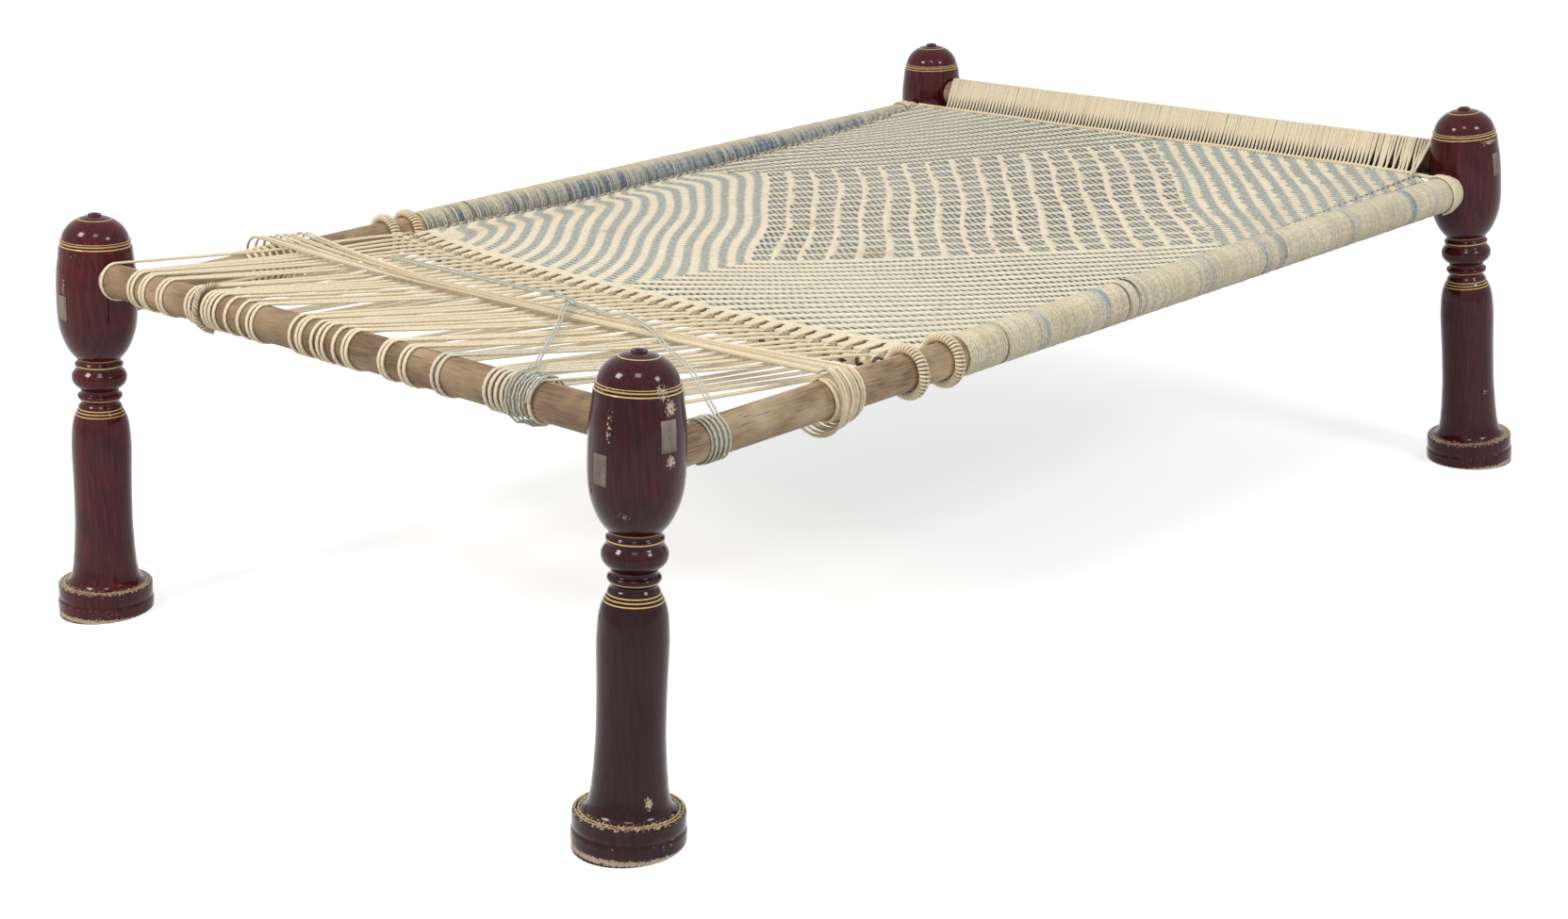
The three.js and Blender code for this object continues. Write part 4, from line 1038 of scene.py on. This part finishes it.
# %% [markdown]
# ## Foot band
# Between the foot border and the rope, pairs of cream cord run on the slant, one knot at the rope for each pair,
# and long dark gaps show between the pairs. A pair is four runs of cord side by side, over the border at one
# end and gathered by a knot before they go round the rope. A fifth run, lower and coloured darker with painted
# shade, and a layer under all of them coloured dark with painted shade stand for what the gaps show.

# %% Knotted pairs
PAIRS = 38
BAND_END = 508.0
KNOT_OFF = 13.0
# a run's points from the border and from the rope: along, across, up, and 1 where its own height counts
FROM_BORDER = [(4.2, 0, -2, 0), (2.5, 0, 3.4, 0), (-5, 0.5, 3.4, 1), (-20, 3, 2.2, 1)]
FROM_ROPE = [(KNOT_OFF, -1, 3.2, 1), (6, 0, 6, 1), (0, 0.5, 7.4, 0), (-6.2, 1, 4, 0), (-7.2, 1, -2, 0),
             (-2, 1, -7.2, 0), (5, 0, -5, 0)]
# each run's own height and painted shade; the one on the near side lies lower, coloured dark as painted shade for
# the gap
RUNS = [(-1.8, 0.85), (0.5, 0), (0.5, 0), (0.5, 0), (0.0, 0)]
pair_y = BAND_END * (1 - 2 * np.arange(PAIRS) / (PAIRS - 1))
pair_gap = pair_y[0] - pair_y[1]
rng = np.random.default_rng(31)
tubes = []
for k, y0 in enumerate(pair_y):
    for run, (up, painted_gap_shade) in enumerate(RUNS):
        side_step = run - 2
        head_y = np.clip(y0 - 4 + 3.9 * side_step + rng.normal(0, 0.3), -519, 519)
        foot_y = np.clip(y0 + 6 + 3.2 * side_step + rng.normal(0, 0.5), -519, 519)
        bx, rx = border_x(head_y), rope_x(foot_y)
        points = [(at_x + dx, at_y + dy, ROPE_LEVEL + dz + counts * up)
                  for at_x, at_y, offsets in ((bx, head_y, FROM_BORDER), (rx, foot_y, FROM_ROPE))
                  for dx, dy, dz, counts in offsets]
        path = smooth_path(points, 4.2)
        # painted shade beside the knot, with a little random tone
        at_knot = np.exp(-((path[:, 0] - rx - KNOT_OFF + 5) / 4.5) ** 2)
        painted_shade_and_tone = painted_gap_shade + 0.25 * at_knot * (run > 0) + 0.08 * rng.random()
        tubes.append(cord(path, 2.15, 6, (0, 1, 0), 9 * k, shade=painted_shade_and_tone))
ring_mesh("foot_band_pairs", tubes, cream_twine, "foot_band")

# %% Knots of the pairs, and the layer under them
# each knot's loop is darker on the side that turns away: painted shade
turn = np.linspace(0, 2 * math.pi * 1.4, 22)
tubes = []
for k, y0 in enumerate(pair_y):
    middle_y = np.clip(y0 + 5, -508, 508)
    rx = rope_x(middle_y)
    loop = np.stack([rx + KNOT_OFF - 2 + 3.4 * (turn / turn[-1] - 0.5) * 2 + 2.5 * np.sin(turn),
                     middle_y + 7.6 * np.cos(turn), ROPE_LEVEL + 3.2 + 5.2 * np.sin(turn)], -1)
    tubes.append(cord(loop, 1.8, 5, (1, 0, 0.02), 11 * k, shade=0.05 + 0.45 * (np.cos(turn + 0.6) < -0.4)))
ring_mesh("foot_band_knots", tubes, cream_twine)
# the layer under the pairs is coloured dark all over: painted shade for the gaps
tubes = []
for k, y0 in enumerate(pair_y[:-1] - pair_gap / 2):
    for step in (-3.6, 0.0, 3.6):
        bx, rx = border_x(y0 + step), rope_x(y0 + step)
        points = [(bx + 1.5, -4, 0.4), ((bx + rx) / 2, 0, -0.6), (rx + 8, 3, -1.0), (rx + 3, 3, -4.0)]
        path = smooth_path(np.array(points) + (0, y0 + step, ROPE_LEVEL), 6)
        tubes.append(cord(path, 1.9, 6, (0, 1, 0), 9 * k, shade=1.0))
ring_mesh("foot_band_under", tubes, cream_twine)

# %% [markdown]
# ## Lashing
# One long doubled cord laces the foot rope to the foot rail: over the rail, round it, back underneath, round the
# rope and on. Its turns on the rail have slipped into groups. The path is a short list of points for each turn,
# and the two strands lie side by side of it.

# %% Lacing to the foot rail
# where the turns stand on the foot rail, from the far side to the near one
TURN_Y = [497, 429, 429, 419.92, 400.63, 392.68, 358.63, 349.56, 290.54, 281.78, 252.22, 243.78, 235.33,
          224.78, 199.44, 170.94, 149.83, 140.33, 57.12, 42.46, 34.65, 11.2, -1.5, -11.27, -33.74, -53.28,
          -61.09, -126.6, -134.07, -167.12, -176.19, -228.75, -239.48, -325.78, -336.04, -346.31, -356.58,
          -405.36]
knot_y = np.linspace(500, -500, len(TURN_Y))
RAIL_TURN = RAIL_R + 2.2
ROPE_TURN = 5 + 2.8
SAG = 3.0


def halfway(rope_y, rail_y, above):
    """The middle of a run between the rope and the rail: it starts above or below both, and sags."""
    rx = rope_x(rope_y)
    return (rx + (-HALF_LENGTH - rx) * 0.5, rope_y + (rail_y - rope_y) * 0.5,
            (ROPE_LEVEL + END_Z + above) / 2 - SAG)


points = []
for k, (rail_y, rope_y) in enumerate(zip(TURN_Y, knot_y)):
    rx = rope_x(rope_y)
    points += [(rx + ROPE_TURN, rope_y + 6, ROPE_LEVEL), (rx, rope_y + 1, ROPE_LEVEL + ROPE_TURN),
               halfway(rope_y, rail_y, 34)]
    for degrees in (72, 95, 120, 150, 180, 210, 240, 270):
        angle = math.radians(degrees)
        drift = (rope_y - rail_y) * 0.05 * max(0, 95 - degrees) / 23
        points.append((-HALF_LENGTH + RAIL_TURN * math.cos(angle), rail_y + drift - (degrees - 90) / 60,
                       END_Z + RAIL_TURN * math.sin(angle)))
    next_y = knot_y[min(k + 1, len(knot_y) - 1)]
    back_y = (rope_y + next_y) / 2
    points += [halfway(back_y, rail_y, -34), (rope_x(back_y), back_y, ROPE_LEVEL - ROPE_TURN)]
lashing_path = smooth_path(points, 8)
along = run_length(lashing_path)
turn_at = np.round(np.interp(along, np.linspace(0, along[-1], len(TURN_Y)), np.arange(len(TURN_Y))))
blue_turn = 0.4 * np.isin(turn_at, (31, 32)) + 0.22 * np.isin(turn_at, (33, 34, 35, 36))


def side_by_side(path, gap, reference):
    """Two strands, each half the gap to one side of the path: path -/+ gap / 2 * unit(direction x across)."""
    direction = unit(np.gradient(path, axis=0))
    beside = np.cross(direction, unit(np.cross(reference, direction))) * np.reshape(gap, (-1, 1)) / 2
    return [path - beside, path + beside]


# the two strands draw together where they bear on the rail
off_rail = np.hypot(lashing_path[:, 0] + HALF_LENGTH, lashing_path[:, 2] - END_Z) - RAIL_TURN
strand_gap = np.interp(off_rail, [1, 40], [1.5, 4.1])
blue_turn = blue_turn * (1 - share_into(off_rail, 40, 200))
# the second strand is a little darker: painted shade beside the first
add_cords("lashing_cord", side_by_side(lashing_path, strand_gap, (0, 1, 0)), 1.8, cream_twine, "lashing",
          reference=(0, 1, 0), marks=lambda i: {"blue": blue_turn, "shade": 0.1 * i})

# %% [markdown]
# ## Rings, bands and spare cord
# The rope and the border end in whipped rings round the side rails. Spare cord is wound on both side rails in a
# band, crosses the lashing as a hank, and two marled blue cords tie it down.

# %% Whipped rings
WHIP_TURNS = 40
RING_MIDDLE_R = RAIL_R + CLEAR + 6


def ring_parts(x, y):
    """The thin cord that winds round a rope ring, a coil carried round a circle, and the ring itself."""
    turn = 2 * math.pi * np.append(np.arange(48), 0)[:, None] / 48
    small = 2 * math.pi * np.arange(8) / 8
    whipping = 2 * math.pi * np.linspace(0, 1, WHIP_TURNS * 10 + 1)
    coil = WHIP_TURNS * whipping
    path = round_rail(x + 6.4 * np.sin(coil), y, RING_MIDDLE_R + 4.6 * np.cos(coil), whipping)
    return path, round_rail(x + 5.6 * np.sin(small), y, RING_MIDDLE_R + 4 * np.cos(small), turn)[::-1]


for kind, edge_x in (("border", border_x), ("rope", rope_x)):
    for label, side in SIDES:
        path, core = ring_parts(edge_x(side * ROPE_END), side * HALF_WIDTH)
        node = f"ring_{kind}_{label}"
        ring_mesh(f"{node}_whipping", [cord(path, 1.95, 5, (1, 0.01, 0))], cream_twine, node)
        # the ring's core is coloured dark: painted shade for the gaps between the whipping's turns
        core_tube = (core, np.linspace(0, 180, len(core)), cord_marks(core, shade=0.8))
        ring_mesh(f"{node}_core", [core_tube], cream_twine)

# %% Bands of turns on the side rails
# the spare cord, which the hank, the tie and the brace also take as their size
SPARE_R = 2.5


def winding(x, y, turns, pitch, sense):
    """Coil round a side rail that starts on top: angle = 90 degrees + sense * turn."""
    share = np.linspace(0, 1, int(turns * 18) + 1)
    angle = math.pi / 2 + sense * 2 * math.pi * turns * share
    return round_rail(x + pitch * turns * (share - 0.5), y, RAIL_R + 0.4 + SPARE_R, angle)


for name, node, band in (("band_near_turns", "band_near", (-568.5, -HALF_WIDTH, 7.5, 6.2, 1)),
                         ("band_far_turns", "band_far", (-597.5, HALF_WIDTH, 9.5, 11.5, -1))):
    add_cords(name, [winding(*band)], SPARE_R, cream_twine, node, reference=(1, 0, 0))

# %% Hank of spare cord over the lashing


def lashing_top(x, y):
    """Level of the top of the lashing: it rises evenly from the rope to the foot rail."""
    share = np.clip((rope_x(y) - x) / (rope_x(y) + HALF_LENGTH), 0, 1)
    over_rope, over_rail = ROPE_LEVEL + ROPE_TURN + SPARE_R, END_Z + RAIL_TURN + SPARE_R
    return over_rope + (over_rail - over_rope) * share


HANK_RUNS = 8
# the runs draw together at this share of the way across
WAIST = 0.42
paths = []
for run in range(HANK_RUNS):
    station = np.linspace(0, 1, 40)
    along = (1 - np.cos(math.pi * station)) / 2
    y = HALF_WIDTH * (1 - 2 * along)
    from_waist = np.where(along < WAIST, (WAIST - along) / WAIST, (along - WAIST) / (1 - WAIST))
    pitch = 4.3 + (np.where(along < WAIST, 13.0, 6.6) - 4.3) * from_waist ** 1.3
    middle = -597.5 + 29 * along - 30 * np.sin(math.pi * along) + 28 * np.clip(1 - along / WAIST, 0, 1) ** 1.5
    x = middle + pitch * ((HANK_RUNS - 1) / 2 - run)
    z = np.maximum(SIDE_Z + RAIL_R + 6, lashing_top(x, y)) + 2.6
    z += 0.8 * np.sin(run * 2.1 + along * 9) + 2.8 * (run % 2) * (1 - from_waist)
    # past the crown of each side rail the run goes on down round it
    curl = np.radians(np.linspace(250, 12, 11))
    out = z[0] - SIDE_Z - 1.6 * curl / curl[0]
    far_curl = np.stack([x[0] + 5 * curl, HALF_WIDTH + out * np.sin(curl), SIDE_Z + out * np.cos(curl)], -1)
    near_curl = np.stack([x[-1] - 3 * curl, -HALF_WIDTH - out * np.sin(curl), SIDE_Z + out * np.cos(curl)], -1)
    flight = np.stack([x, y, z], -1)
    paths.append(smooth_path(np.concatenate([far_curl, flight, near_curl[::-1]]), 9))
# every second run, and a little every third, is darker: painted shade for the gaps between runs
add_cords("hank_runs", paths, 2.0, cream_twine, "cross_hank",
          marks=lambda i: {"shade": 0.22 * (i % 2) + 0.05 * (i % 3)})

# %% Tie cord and brace cord
# points: along, across, and how many cords lie between the cord and the lashing
TIE = [(-536, 340, 0), (-530, 150, 0), (-527, -20, 0), (-532, -45, 0), (-545, -62, 0), (-560, -76, 0),
       (-583, -97, 1), (-634, -145, 1), (-662, -171, 0), (-760, -265, 0), (-868, -368, 0)]
BRACE = [(-551, -71.6, 0), (-547.6, -75.3, 0), (-562, -155, 0), (-573, -190, 1), (-604, -272, 1), (-628, -314, 1),
         (-652, -358, 0), (-690, -425, 0), (-745, -505, 0)]


def route(points):
    """A cord's middle line over the lashing, raised by the cords that lie between."""
    x, y, under = np.array(points, float).T
    return np.stack([x, y, lashing_top(x, y) + 1.5 + 7.5 * under + SPARE_R], -1)


def round_foot_rail(y, out, angle):
    """Points round the foot rail, out from its axis, at the places y along it."""
    return np.stack([-HALF_LENGTH + out * np.cos(angle), y, END_Z + out * np.sin(angle)], -1)


turn = np.linspace(math.radians(62), math.radians(62 + 360 * 3.3), 42)
out = np.interp(turn, [turn[0], turn[12], turn[-1]], [31.5, 29.6, 29.6])
tie_turns = round_foot_rail(np.linspace(-371, -409, 42), out, turn)
tie_path = np.concatenate([smooth_path(route(TIE), 6), tie_turns[1:]])
brace_path = smooth_path(np.concatenate([route(BRACE), winding(-781.5, -HALF_WIDTH, 3.5, -7.5, 1)[1:]]), 5)
for node, path, reference, dyed, dust in (("tie_cord", tie_path, (0.02, 1, 0.02), 0.26, 0.0),
                                          ("brace_cord", brace_path, (1, 0, 0.02), 0.0, 0.12)):
    add_cords(f"{node}_laid", side_by_side(path, 4.4, (0.6, -0.6, 0.1)), 1.35, tie_twine, node,
              reference=reference, marks=lambda i: {"blue": dyed * (0.3 + i), "shade": 0.08, "stain": dust})

# %% A frayed turn on the foot rail
turn = np.linspace(math.radians(60), math.radians(255), 24)
strayed = 268 - 12 * (turn - turn[0]) / 3.4 + 1.5 * np.sin(4 * turn)
frayed = round_foot_rail(strayed, RAIL_R + 6.5, turn)
add_cords("frayed_turn", twined(frayed, 2.6, 13, 3, 1.0), 1.5, cream_twine, reference=(0, 1, 0),
          marks=lambda i: {"shade": 0.1 + 0.12 * i, "stain": 0.1})
